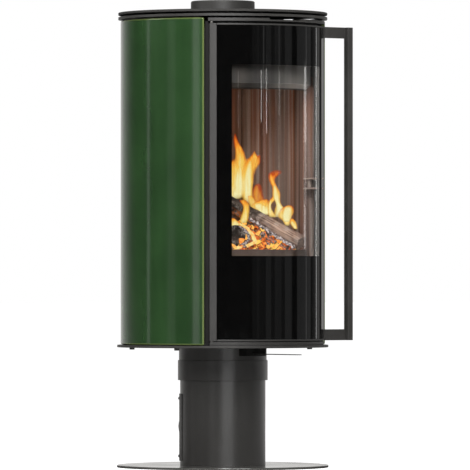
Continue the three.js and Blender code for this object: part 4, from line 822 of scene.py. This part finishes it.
bent("door_back_plate", ring(DOOR_FRAME_INNER, DOOR_FRAME_OUTER, DOOR_BASE, DOOR_TOP), PANE_ANGLES,
     "door_frame", body="door", cuts=(cutter(GLASS_WINDOW_BASE, GLASS_WINDOW_TOP, GLASS_WINDOW_ANGLE),))
for name, low in (("door_lip_lower", DOOR_BASE), ("door_lip_upper", DOOR_TOP - LIP_HEIGHT)):
    bent(name, ring(DOOR_FRAME_OUTER, DOOR_OUTER, low, low + LIP_HEIGHT), PANE_ANGLES, body="door")
for side, side_name in ((-1, "left_"), (1, "right_")):
    middle = side * (GLASS_WINDOW_ANGLE + CLIP_OFFSET)
    for number, level in enumerate(CLIP_LEVELS, 1):
        bent("glass_clip_" + side_name + str(number),
             ring(CLIP_INNER, DOOR_FRAME_INNER, level - CLIP_HALF_HEIGHT, level + CLIP_HALF_HEIGHT),
             (middle - CLIP_HALF_ANGLE, middle + CLIP_HALF_ANGLE), step=0.7, body="door", coat=bare_steel,
             slot="bare_steel")
for name, start, node_name in (("hinge_side_stile", DOOR_ANGLES[0], "hinge_stile"),
                               ("latch_side_stile", DOOR_ANGLES[1] - STILE_ANGLE, "latch_stile")):
    bent(name, ring(DOOR_INNER, DOOR_OUTER, DOOR_BASE, DOOR_TOP), (start, start + STILE_ANGLE), node_name,
         step=0.8, soft=0.0009, segments=3, body="door")
paint_nodes(coat_material("glass_fibre_rope", (0.22, 0.21, 0.19), 0.9, 1.0, 0.2, 0.2), "door_seal")

# ---------------- door glass
# A curved pane of glass ceramic. A black enamel is printed on it and fired, all round a clear window.
# The clips on the door's back plate hold it from inside.

PANE_RING = ring(0.246, 0.250, 0.3146, 1.072)

clear_glass, tree = new_material("clear_glass", Base_Color=(0.93, 0.91, 0.88), Roughness=0.0, IOR=1.47,
                                 Transmission_Weight=1.0)
black_enamel, tree = new_material("black_enamel", IOR=1.47)
haze = spot_in(tree).noise(30, 4)
wire(tree, Base_Color=haze.mix((0.0012, 0.0012, 0.0013), (0.0028, 0.0027, 0.0026)),
     Roughness=haze.stretch(0.3, 0.7, 0.03, 0.06))

pane = swept("glass_pane", PANE_RING, *PANE_ANGLES, 0.59)
rounded(pane, 0.0005, 1)
window_edges = [((0, 0, GLASS_WINDOW_BASE), (0, 0, 1)), ((0, 0, GLASS_WINDOW_TOP), (0, 0, 1))]
window_edges += [((0, 0, 0), around(side * GLASS_WINDOW_ANGLE + 90)) for side in (-1, 1)]
for point, normal in window_edges:
    with editing(pane):
        bpy.ops.mesh.bisect(plane_co=point, plane_no=normal)
fitted(pane, "door", black_enamel, "printed_glass", "door_glass")
# The lamps shine through the clear window; the door's steel back plate shades the rest.
pane.visible_shadow = False
pane.data.materials.append(clear_glass)
for face in pane.data.polygons:
    x, y, z = face.center
    inside = abs(math.degrees(math.atan2(x, -y))) < GLASS_WINDOW_ANGLE
    if inside and GLASS_WINDOW_BASE < z < GLASS_WINDOW_TOP:
        face.material_index = 1

# ---------------- door handle
# A tall square bar stands off the latch stile on two flat arms. It is welded, ground and coated with the
# door.

HANDLE_X, HANDLE_Y, HANDLE_HALF = 0.254, -0.175, 0.008
ARM_LEFT, ARM_FRONT, ARM_REAR, ARM_HEIGHT = 0.165, -0.173, -0.167, 0.027
ARM_GAP = 0.0006

bar = block("handle_upright", (HANDLE_X - HANDLE_HALF, HANDLE_Y - HANDLE_HALF, DOOR_BASE),
            (HANDLE_X + HANDLE_HALF, HANDLE_Y + HANDLE_HALF, DOOR_TOP))
coated(bar, "door", "handle_bar", soft=0.0011, segments=3)
for name, low, node_name in (("handle_arm_low", DOOR_BASE, "handle_arm_lower"),
                             ("handle_arm_high", DOOR_TOP - ARM_HEIGHT, "handle_arm_upper")):
    arm = block(name, (ARM_LEFT, ARM_FRONT, low), (HANDLE_X - HANDLE_HALF, ARM_REAR, low + ARM_HEIGHT))
    with editing(arm):
        bpy.ops.mesh.bisect(plane_co=(ARM_GAP, 0, 0), plane_no=(1, math.tan(math.radians(DOOR_ANGLES[1])), 0),
                            clear_inner=True, use_fill=True)
    coated(arm, "door", node_name, soft=0.0007)

# ---------------- logs
# Three split beech logs. The fire has broken their undersides into small blocks of charcoal with white ash
# along the cracks. The leaning log still shows a grey-brown split face near its end.

LOG_SIDES, LOG_RINGS = 40, 44
LOG_FULLNESS, BARK_DEPTH, BARK_GRAIN = 0.93, 0.22, 0.02
SPLIT_TONES = ((0.085, 0.047, 0.036), (0.30, 0.215, 0.17), (0.24, 0.225, 0.22))


def wood_material(name, char_from, char_to, split_tone=1.0):
    """Split wood that turns to charcoal between two distances along the log, and glows underneath."""
    material, tree = new_material(name, Emission_Strength=1.0, Roughness=0.85, Specular_IOR_Level=0.3)
    grown = field(tree, "ShaderNodeAttribute", output="Vector", attribute_name="grain")
    fibre = grown.vector("MULTIPLY", (1, 1, 0.05)).noise(240, 6)
    patch = grown.noise(42, 4)
    edge = grown.vector("MULTIPLY", (1, 1, 0.8)).cells(105, feature="DISTANCE_TO_EDGE")
    dark, pale, grey = (tuple(Vector(tone) * split_tone) for tone in SPLIT_TONES)
    split = patch.stretch(0.5, 0.7, 0, 0.6).mix(fibre.stretch(0.38, 0.62).mix(dark, pale), grey)
    coal = patch.stretch(0.36, 0.64).mix((0.008, 0.0065, 0.006), (0.042, 0.031, 0.026))
    # White ash lines the cracks, but not in the log's ends.
    rim = edge.stretch(0.06, 0.14) * edge.stretch(0.14, 0.26, 1, 0)
    radial = grown.vector("MULTIPLY", (1, 1, 0)).vector("LENGTH", output="Value")
    ashy = rim * patch.stretch(0.45, 0.6, 0, 0.8) * radial.stretch(0.010, 0.016)
    coal = ashy.mix(coal, (0.40, 0.38, 0.36))
    charred = (grown.part("Z") + patch.stretch(0.3, 0.7, -0.02, 0.02)).stretch(char_from, char_to, 1, 0)
    underneath = field(tree, "ShaderNodeNewGeometry", output="Normal").part("Z").stretch(-0.15, -0.85)
    glow = edge.stretch(0.02, 0.09, 1, 0) * underneath * charred
    relief = fibre * 0.6 + edge.stretch(0, 0.12) * charred
    wire(tree, Base_Color=charred.mix(split, coal), Emission_Color=glow.mix((0, 0, 0), (1.0, 0.25, 0.03)),
         Normal=relief.bump(0.8, 0.002))
    return material


bark = bpy.data.textures.new("bark", "CLOUDS")
bark.noise_scale = BARK_GRAIN


def split_log(name, start, end, radius, squareness, twist, material, node_name):
    """A rough log between two points. Its mesh keeps where each spot lies across and along the grain."""
    start, end = Vector(start), Vector(end)
    piece = primitive(bpy.ops.mesh.primitive_circle_add, name, vertices=LOG_SIDES, radius=radius,
                      fill_type="NGON")
    with editing(piece):
        for number in range(LOG_RINGS):
            rise = (end - start).length / LOG_RINGS
            bpy.ops.mesh.extrude_region_move(TRANSFORM_OT_translate={"value": (0, 0, rise)})
        bpy.ops.mesh.select_all(action="SELECT")
        bpy.ops.mesh.normals_make_consistent(inside=False)
    # An axe leaves flat faces: the round section is pushed out towards a square with soft corners.
    for corner in piece.data.vertices:
        across, over = corner.co.x / radius, corner.co.y / radius
        push = (abs(across) ** squareness + abs(over) ** squareness + 1e-9) ** (-1 / squareness)
        corner.co.x *= LOG_FULLNESS * push
        corner.co.y *= LOG_FULLNESS * push
    modified(piece, "DISPLACE", texture=bark, texture_coords="LOCAL", strength=BARK_DEPTH * radius)
    rounded(piece, 0.0012, 2, 60)
    grain = piece.data.attributes.new("grain", "FLOAT_VECTOR", "POINT")
    for corner in piece.data.vertices:
        grain.data[corner.index].vector = corner.co
    lie = (end - start).to_track_quat("Z", "Y").to_matrix().to_4x4()
    piece.data.transform(Matrix.Translation(start) @ lie @ spun(twist))
    fitted(piece, "stove", material, "firewood", node_name)


split_log("leaning_split_log", (0.017, 0.040, 0.662), (0.0945, -0.188, 0.5485), 0.0168, 3.6, 20,
          wood_material("leaning_log_wood", 0.10, 0.19), "log_leaning")
split_log("lower_split_log", (-0.035, -0.093, 0.5655), (0.077, 0.050, 0.5655), 0.027, 2.4, 0,
          wood_material("charred_log_wood", 0.5, 0.6), "log_lower")
split_log("back_split_log", (-0.052, 0.102, 0.6120), (0.070, -0.002, 0.6110), 0.026, 3.0, 35,
          wood_material("back_log_wood", -0.2, -0.1, 0.45), "log_back")

# ---------------- char blocks and embers
# Blocks of charcoal with ash-white skins hang along the underside of the leaning log. Below them lies a
# heap of glowing coals, brightest in the middle, with dark cracks between and grey ash towards the glass.

HEAP_FOOT, HEAP_LEAST, HEAP_CREST, HEAP_CREST_RIGHT = 0.5185, 0.012, 0.604, 0.06
HEAP_LEFT_FALL, HEAP_RIGHT_FALL = 0.9, 0.60
HEAP_LEFT, HEAP_RIGHT = -0.12, 0.172
HEAP_MIDDLE, HEAP_HALF_DEPTH = 0.015, 0.10
COAL_COUNT, BLOCK_COUNT = 700, 15
BLOCK_RIGHT, BLOCK_NEAR, BLOCK_HEIGHT = 0.066, 0.030, 0.6055
BLOCK_RUN, BLOCK_NEARING, BLOCK_FALL, BLOCK_LEAN = 0.108, 0.068, 0.0695, 0.5
BARK_EDGE_NEAR, BEAD_STEP = 0.098, 0.002
ASH_BED_PROFILE = [(0.002, 0.5150), (0.172, 0.5150), (0.172, 0.5210), (0.150, 0.5260), (0.100, 0.5330),
                   (0.050, 0.5380), (0.002, 0.5390)]


def ember_material(name, cell, dark_share, heat):
    """Glowing coal: each coal has its own heat, with dark gaps between and ash over some."""
    material, tree = new_material(name, Emission_Strength=1.0, Roughness=0.95, Specular_IOR_Level=0.1)
    where = spot_in(tree)
    own = where.cells(cell, "Color").then("ShaderNodeSeparateColor", {})
    flicker = where.noise(190, 4)
    warmth = own * 0.6 + flicker * 0.7
    red = warmth.stretch(0.35, 0.62).mix((0.35, 0.035, 0.004), (0.95, 0.22, 0.03))
    bright = warmth.stretch(0.56, 0.82).mix(red, (1.0, 0.62, 0.12))
    gap = where.cells(cell, feature="DISTANCE_TO_EDGE").stretch(0.02, 0.07, 1, 0)
    ashen = (own + flicker.stretch(0.4, 0.6, -0.1, 0.1)).stretch(dark_share, dark_share + 0.06, 1, 0)
    ash = flicker.stretch(0.4, 0.6).mix((0.02, 0.017, 0.015), (0.30, 0.28, 0.27))
    wire(tree, Base_Color=ashen.mix((0.02, 0.012, 0.01), ash),
         Emission_Color=gap.maths("MAXIMUM", ashen).mix(bright.scaled(heat), (0.02, 0.003, 0.001)))
    return material


def seen_at(right, near, height):
    """The point that the camera sees a distance right of the axis and nearer than it."""
    return camera_right * right + toward_camera * near + Vector((0, 0, height))


def heap_top(right):
    """The height of the heap as the camera sees it: it fills the room under the leaning log."""
    beyond = right - HEAP_CREST_RIGHT
    if beyond < 0:
        return max(HEAP_CREST - HEAP_LEFT_FALL * beyond ** 2 / HEAP_CREST_RIGHT, HEAP_FOOT + HEAP_LEAST)
    return HEAP_CREST - HEAP_RIGHT_FALL * beyond


random.seed(11)
coal = primitive(bpy.ops.mesh.primitive_uv_sphere_add, "coal", segments=7, ring_count=5, radius=1)
coals = []
while len(coals) < COAL_COUNT:
    right = random.uniform(HEAP_LEFT, HEAP_RIGHT)
    inward = random.uniform(-1, 1)
    near = HEAP_MIDDLE + inward * HEAP_HALF_DEPTH
    if math.hypot(right, near) > HEAP_RIGHT:
        continue
    crest = HEAP_FOOT + (heap_top(right) - HEAP_FOOT) * (1 - inward ** 2)
    piece = copy_of(coal, "coal")
    size = random.uniform(0.006, 0.0105)
    spot = seen_at(right, near, random.uniform(HEAP_FOOT, crest))
    for corner in piece.data.vertices:
        corner.co *= random.uniform(0.86, 1.1)
    shape = Matrix.Diagonal((size * random.uniform(0.8, 1.4), size, size * random.uniform(0.7, 1.0), 1))
    spin = Matrix.Rotation(random.uniform(0, math.tau), 4, (random.random(), random.random(), 0.5))
    piece.data.transform(Matrix.Translation(spot) @ spin @ shape)
    coals.append(piece)
bpy.data.objects.remove(coal)
embers = ember_material("glowing_embers", 62, 0.10, 1.15)
fitted(joined("ember_heap", coals), "stove", embers, "embers")

# Fine ash and small coals fill the bottom of the bed, up to the retainer.
ash_bed = turned("ash_bed", ASH_BED_PROFILE, 96)
fitted(ash_bed, "stove", ember_material("ash_bed", 130, 0.62, 0.7), "embers", "ember_bed")

char_block, tree = new_material("ash_white_char", Roughness=0.95)
mottle = spot_in(tree).noise(210, 4).stretch(0.42, 0.58)
wire(tree, Base_Color=mottle.mix((0.05, 0.04, 0.042), (0.38, 0.345, 0.36)))
blocks = []
for number in range(BLOCK_COUNT):
    share = (number + 0.5) / BLOCK_COUNT
    size = random.uniform(0.0032, 0.0046)
    piece = block("char_block", (-size, -size, -size), (size, size, size * 1.2))
    rounded(piece, 0.0011)
    right = BLOCK_RIGHT + share * BLOCK_RUN + random.uniform(-0.001, 0.001)
    height = BLOCK_HEIGHT - share * BLOCK_FALL + random.uniform(-0.0015, 0.0015)
    spin = Matrix.Rotation(random.uniform(-0.35, 0.35) + BLOCK_LEAN, 4, toward_camera)
    spot = seen_at(right, BLOCK_NEAR + share * BLOCK_NEARING, height)
    piece.data.transform(Matrix.Translation(spot) @ spin @ spun(CAMERA_ANGLE))
    blocks.append(piece)
fitted(joined("char_blocks", blocks), "stove", char_block, "firewood")

# The bark of the lower log curls away and burns along its edge: a bead drawn round the end of the log.
burning_edge, tree = new_material("burning_edge", Emission_Strength=1.0, Base_Color=(0.02, 0.01, 0.005),
                                  Roughness=1.0)
flicker = spot_in(tree).noise(120, 3)
wire(tree, Emission_Color=flicker.stretch(0.35, 0.6).mix((1.0, 0.55, 0.10), (1.0, 0.86, 0.36)))


def bead(name, material, rings):
    """A bead drawn through rings of (right, height, half width), as the camera sees them."""
    first = rings[0][2]
    knob = primitive(bpy.ops.mesh.primitive_uv_sphere_add, "knob", segments=12, ring_count=8, radius=first)
    knobs = []
    for (right, height, half), (far_right, far_height, far_half) in zip(rings, rings[1:]):
        steps = max(2, round(math.dist((right, height), (far_right, far_height)) / BEAD_STEP))
        for share in (step / steps for step in range(steps)):
            size = (half + share * (far_half - half)) / first * random.uniform(0.85, 1.15)
            spot = seen_at(right + share * (far_right - right), BARK_EDGE_NEAR,
                           height + share * (far_height - height))
            knobs.append(copy_of(knob, "knob", Matrix.Translation(spot) @ Matrix.Scale(size, 4)))
    bpy.data.objects.remove(knob)
    fitted(joined(name, knobs), "stove", material, "embers")


bead("burning_bark_upper", burning_edge, [
    (0.040, 0.5945, 0.002), (0.048, 0.591, 0.0028), (0.061, 0.583, 0.0034), (0.072, 0.567, 0.0040),
    (0.079, 0.552, 0.0046)])
bead("burning_bark_lower", burning_edge, [
    (0.079, 0.551, 0.0046), (0.062, 0.542, 0.0040), (0.042, 0.5375, 0.0034), (0.024, 0.5345, 0.003)])
bead("ash_white_bark", char_block, [
    (0.040, 0.587, 0.0026), (0.052, 0.581, 0.0034), (0.062, 0.569, 0.004), (0.064, 0.557, 0.004),
    (0.056, 0.547, 0.004), (0.042, 0.5425, 0.003)])

# ---------------- flames
# Tongues of burning gas stand behind the leaning log and lick over it. Each is a flattened, pointed shape
# that turns from pale yellow inside to orange at its edges and red at its tip, and fades out there.

FLAME_SIDES, FLAME_THINNESS = 20, 0.34
FLAME_SPREAD = 0.14
LAMP_SOFTNESS = 0.04


def flame_material(name, start, cooling, cover):
    """Burning gas: pale yellow in the middle, orange and thin at the edges, redder towards the tip."""
    material, tree = new_material(name, Emission_Strength=1.0, Base_Color=(0, 0, 0), Roughness=1.0,
                                  Specular_IOR_Level=0.0)
    place = field(tree, "ShaderNodeAttribute", output="Vector", attribute_name="tongue_place")
    side, rise = place.part("X").maths("ABSOLUTE"), place.part("Z")
    lick = spot_in(tree).vector("MULTIPLY", (1, 1, 0.14)).noise(150, 3, 0.6)
    uneven = lick.stretch(0.3, 0.7, -0.3, 0.3)
    cool = side ** 2.2 * 0.75 + uneven + rise ** 3.0 * cooling + start
    hot = cool.stretch(-0.05, 0.5).mix((1.0, 0.96, 0.52), (1.0, 0.66, 0.12))
    warm = cool.stretch(0.5, 0.95).mix(hot, (1.0, 0.36, 0.03))
    edge = (side + uneven * 0.4).stretch(0.42, 1.0, 1, 0)
    ends = rise.stretch(0.0, 0.16) * rise.stretch(0.88, 1.0, 1, 0)
    last = cool.stretch(0.95, 1.35).mix(warm, (0.60, 0.07, 0.008))
    wire(tree, Emission_Color=last, Alpha=edge * ends * cover)
    return material


def tongue(name, near, material, rings):
    """A flame drawn through rings of (height, left, right), in mm as the camera sees them."""
    rings = [(0.001 * level, 0.001 * (left - FLAME_SPREAD * (right - left)),
              0.001 * (right + FLAME_SPREAD * (right - left))) for level, left, right in rings]
    height, left, right = rings[0]
    piece = primitive(bpy.ops.mesh.primitive_circle_add, name, vertices=FLAME_SIDES,
                      radius=(right - left) / 2, location=((left + right) / 2, 0, height))
    with editing(piece):
        for (low, near_left, near_right), (high, far_left, far_right) in zip(rings, rings[1:]):
            sideways = (far_left + far_right - near_left - near_right) / 2
            widen = (far_right - far_left) / (near_right - near_left)
            bpy.ops.mesh.extrude_region_move(TRANSFORM_OT_translate={"value": (sideways, 0, high - low)})
            bpy.ops.transform.resize(value=(widen, widen, 1))
        bpy.ops.mesh.select_all(action="SELECT")
        bpy.ops.mesh.fill_holes(sides=0)
        bpy.ops.mesh.normals_make_consistent(inside=False)
    place = piece.data.attributes.new("tongue_place", "FLOAT_VECTOR", "POINT")
    top = rings[-1][0]
    for corner in piece.data.vertices:
        level, left, right = min(rings, key=lambda ring: abs(ring[0] - corner.co.z))
        side = (2 * corner.co.x - left - right) / (right - left)
        place.data[corner.index].vector = (side, 0, (level - height) / (top - height))
    piece.data.transform(Matrix.Diagonal((1, FLAME_THINNESS, 1, 1)))
    modified(piece, "SUBSURF", levels=2, render_levels=2)
    piece.data.transform(Matrix.Translation(toward_camera * near) @ spun(CAMERA_ANGLE))
    fitted(piece, "stove", material, "embers")


flame_bright = flame_material("bright_flame", 0.2, 0.9, 1.0)
flame_red = flame_material("red_flame", 0.95, 0.5, 0.5)
flame_tipped = flame_material("tipped_flame", 0.2, 1.3, 1.0)
flame_thin = flame_material("thin_flame", 0.25, 0.7, 0.6)
flame_core = flame_material("flame_core", -0.12, 0.5, 0.8)
for name, near, material, rings in (
    ("left_flame", -0.048, flame_tipped, [(654, 17, 44), (665, 15, 46), (680, 16, 48), (696, 18, 50),
     (713, 21, 54), (729, 23, 57), (743, 28, 57), (758, 33, 55), (770, 33, 52), (780, 31, 48),
     (790, 28, 41), (801, 27, 36), (811, 27, 33), (820, 29, 32)]),
    ("hidden_flame", -0.060, flame_bright, [(655, 9, 31), (676, 8, 32), (696, 9, 33), (717, 11, 34),
     (733, 15, 35), (746, 20, 34), (753, 24, 32), (756, 26, 30)]),
    ("forked_flame", -0.040, flame_bright, [(643, 52, 80), (655, 51, 74), (667, 49, 71), (684, 47, 71),
     (700, 46, 73), (717, 46, 74), (729, 50, 79), (739, 54, 86), (749, 59, 90), (758, 66, 89),
     (765, 72, 83), (771, 75, 80), (776, 77, 79)]),
    ("prong", -0.036, flame_red, [(737, 74, 85), (743, 78, 91), (751, 81, 92), (757, 84, 92), (763, 87, 92),
     (766, 88, 91)]),
    ("joining_flame", -0.052, flame_thin, [(688, 31, 72), (696, 31, 72), (717, 33, 72), (733, 37, 71),
     (745, 44, 70), (754, 50, 69), (758, 55, 66)]),
    ("red_flame", -0.030, flame_red, [(638, 72, 113), (645, 71, 109), (651, 72, 105), (659, 73, 100),
     (667, 72, 98), (677, 73, 96), (686, 76, 94), (692, 81, 92), (696, 85, 90)]),
    ("low_flame_middle", -0.008, flame_bright, [(615, 101, 113), (624, 90, 115), (634, 76, 115),
     (642, 72, 114), (649, 82, 113), (654, 95, 111), (657, 103, 109)]),
    ("low_flame_left", -0.014, flame_thin, [(632, 72, 97), (642, 64, 88), (651, 63, 80), (659, 62, 74),
     (667, 62, 70)]),
    ("hooked_flame", 0.018, flame_tipped, [(612, 127, 165), (622, 127, 163), (630, 129, 154),
     (638, 131, 145), (646, 131, 140), (654, 127, 139), (663, 122, 140), (671, 122, 140), (679, 122, 136),
     (687, 121, 132), (695, 116, 128), (702, 113, 125), (709, 112, 128), (716, 113, 138), (721, 116, 142),
     (725, 123, 141), (728, 130, 138)]),
    ("hooked_flame_branch", 0.014, flame_bright, [(609, 115, 135), (618, 113, 127), (626, 112, 121),
     (634, 112, 117), (642, 112, 117), (650, 114, 123), (658, 118, 133), (666, 124, 135)]),
    ("round_flame", 0.040, flame_bright, [(588, 153, 162), (597, 151, 162), (605, 145, 164),
     (613, 135, 165), (619, 137, 168), (626, 141, 171), (632, 144, 171), (637, 151, 170), (640, 156, 167),
     (642, 159, 164)]),
    ("tail_flame", 0.055, flame_bright, [(580, 177, 181), (587, 170, 181), (593, 166, 179), (599, 163, 177),
     (604, 164, 174), (609, 166, 170)]),
    ("front_flame", 0.028, flame_bright, [(594, 41, 58), (603, 43, 60), (613, 45, 62), (624, 49, 64),
     (634, 51, 64), (642, 49, 63), (648, 43, 60), (656, 39, 54)]),
    ("bark_flame", 0.034, flame_bright, [(586, 19, 40), (593, 19, 41), (600, 19, 37), (606, 20, 31),
     (610, 22, 27)]),
    ("left_core", -0.030, flame_core, [(655, 22, 41), (663, 24, 50), (675, 27, 51), (690, 30, 50),
     (704, 32, 49), (716, 34, 48), (729, 36, 47), (739, 38, 45)]),
    ("forked_core", -0.025, flame_core, [(655, 54, 71), (665, 55, 70), (679, 53, 70), (694, 53, 71),
     (708, 54, 71), (720, 56, 71), (733, 59, 72), (745, 62, 72), (753, 65, 71)]),
    ("hooked_core", 0.032, flame_core, [(609, 127, 155), (617, 127, 160), (626, 130, 153), (634, 131, 145),
     (642, 131, 140), (650, 128, 137), (658, 124, 137), (666, 124, 136), (675, 124, 134), (683, 124, 131),
     (691, 123, 128)]),
    ("round_core", 0.052, flame_core, [(597, 150, 163), (605, 147, 164), (613, 143, 165), (621, 145, 168),
     (627, 148, 169), (634, 151, 167), (638, 155, 165)]),
    ("tail_core", 0.064, flame_core, [(583, 174, 180), (588, 170, 179), (593, 167, 176), (598, 165, 174),
     (602, 166, 172)]),
    ("middle_core", 0.002, flame_core, [(617, 101, 112), (624, 92, 113), (632, 80, 111), (638, 74, 109),
     (643, 74, 94), (647, 83, 93)])):
    tongue(name, near, material, rings)

# The fire throws a warm light on the lining. The first lamp hangs on the axis, so it stays in the fire as
# the stove turns; two weak ones light the coals and the inner face of the pane.
for name, place, watts, colour in (("fire_light", (0, 0, 0.80), 0.56, (1.0, 0.62, 0.4)),
                                   ("coal_light", (0.02, -0.165, 0.66), 0.07, (1.0, 0.78, 0.6)),
                                   ("pane_light", (-0.02, -0.175, 0.70), 0.2, (1.0, 0.92, 0.86))):
    fire_lamp = bpy.data.lights.new(name, "POINT")
    fire_lamp.energy = watts
    fire_lamp.color = colour
    fire_lamp.shadow_soft_size = LAMP_SOFTNESS
    fire_light = bpy.data.objects.new(name, fire_lamp)
    scene.collection.objects.link(fire_light)
    fire_light.location = place
    fire_light.visible_camera = fire_light.visible_glossy = fire_light.visible_transmission = False
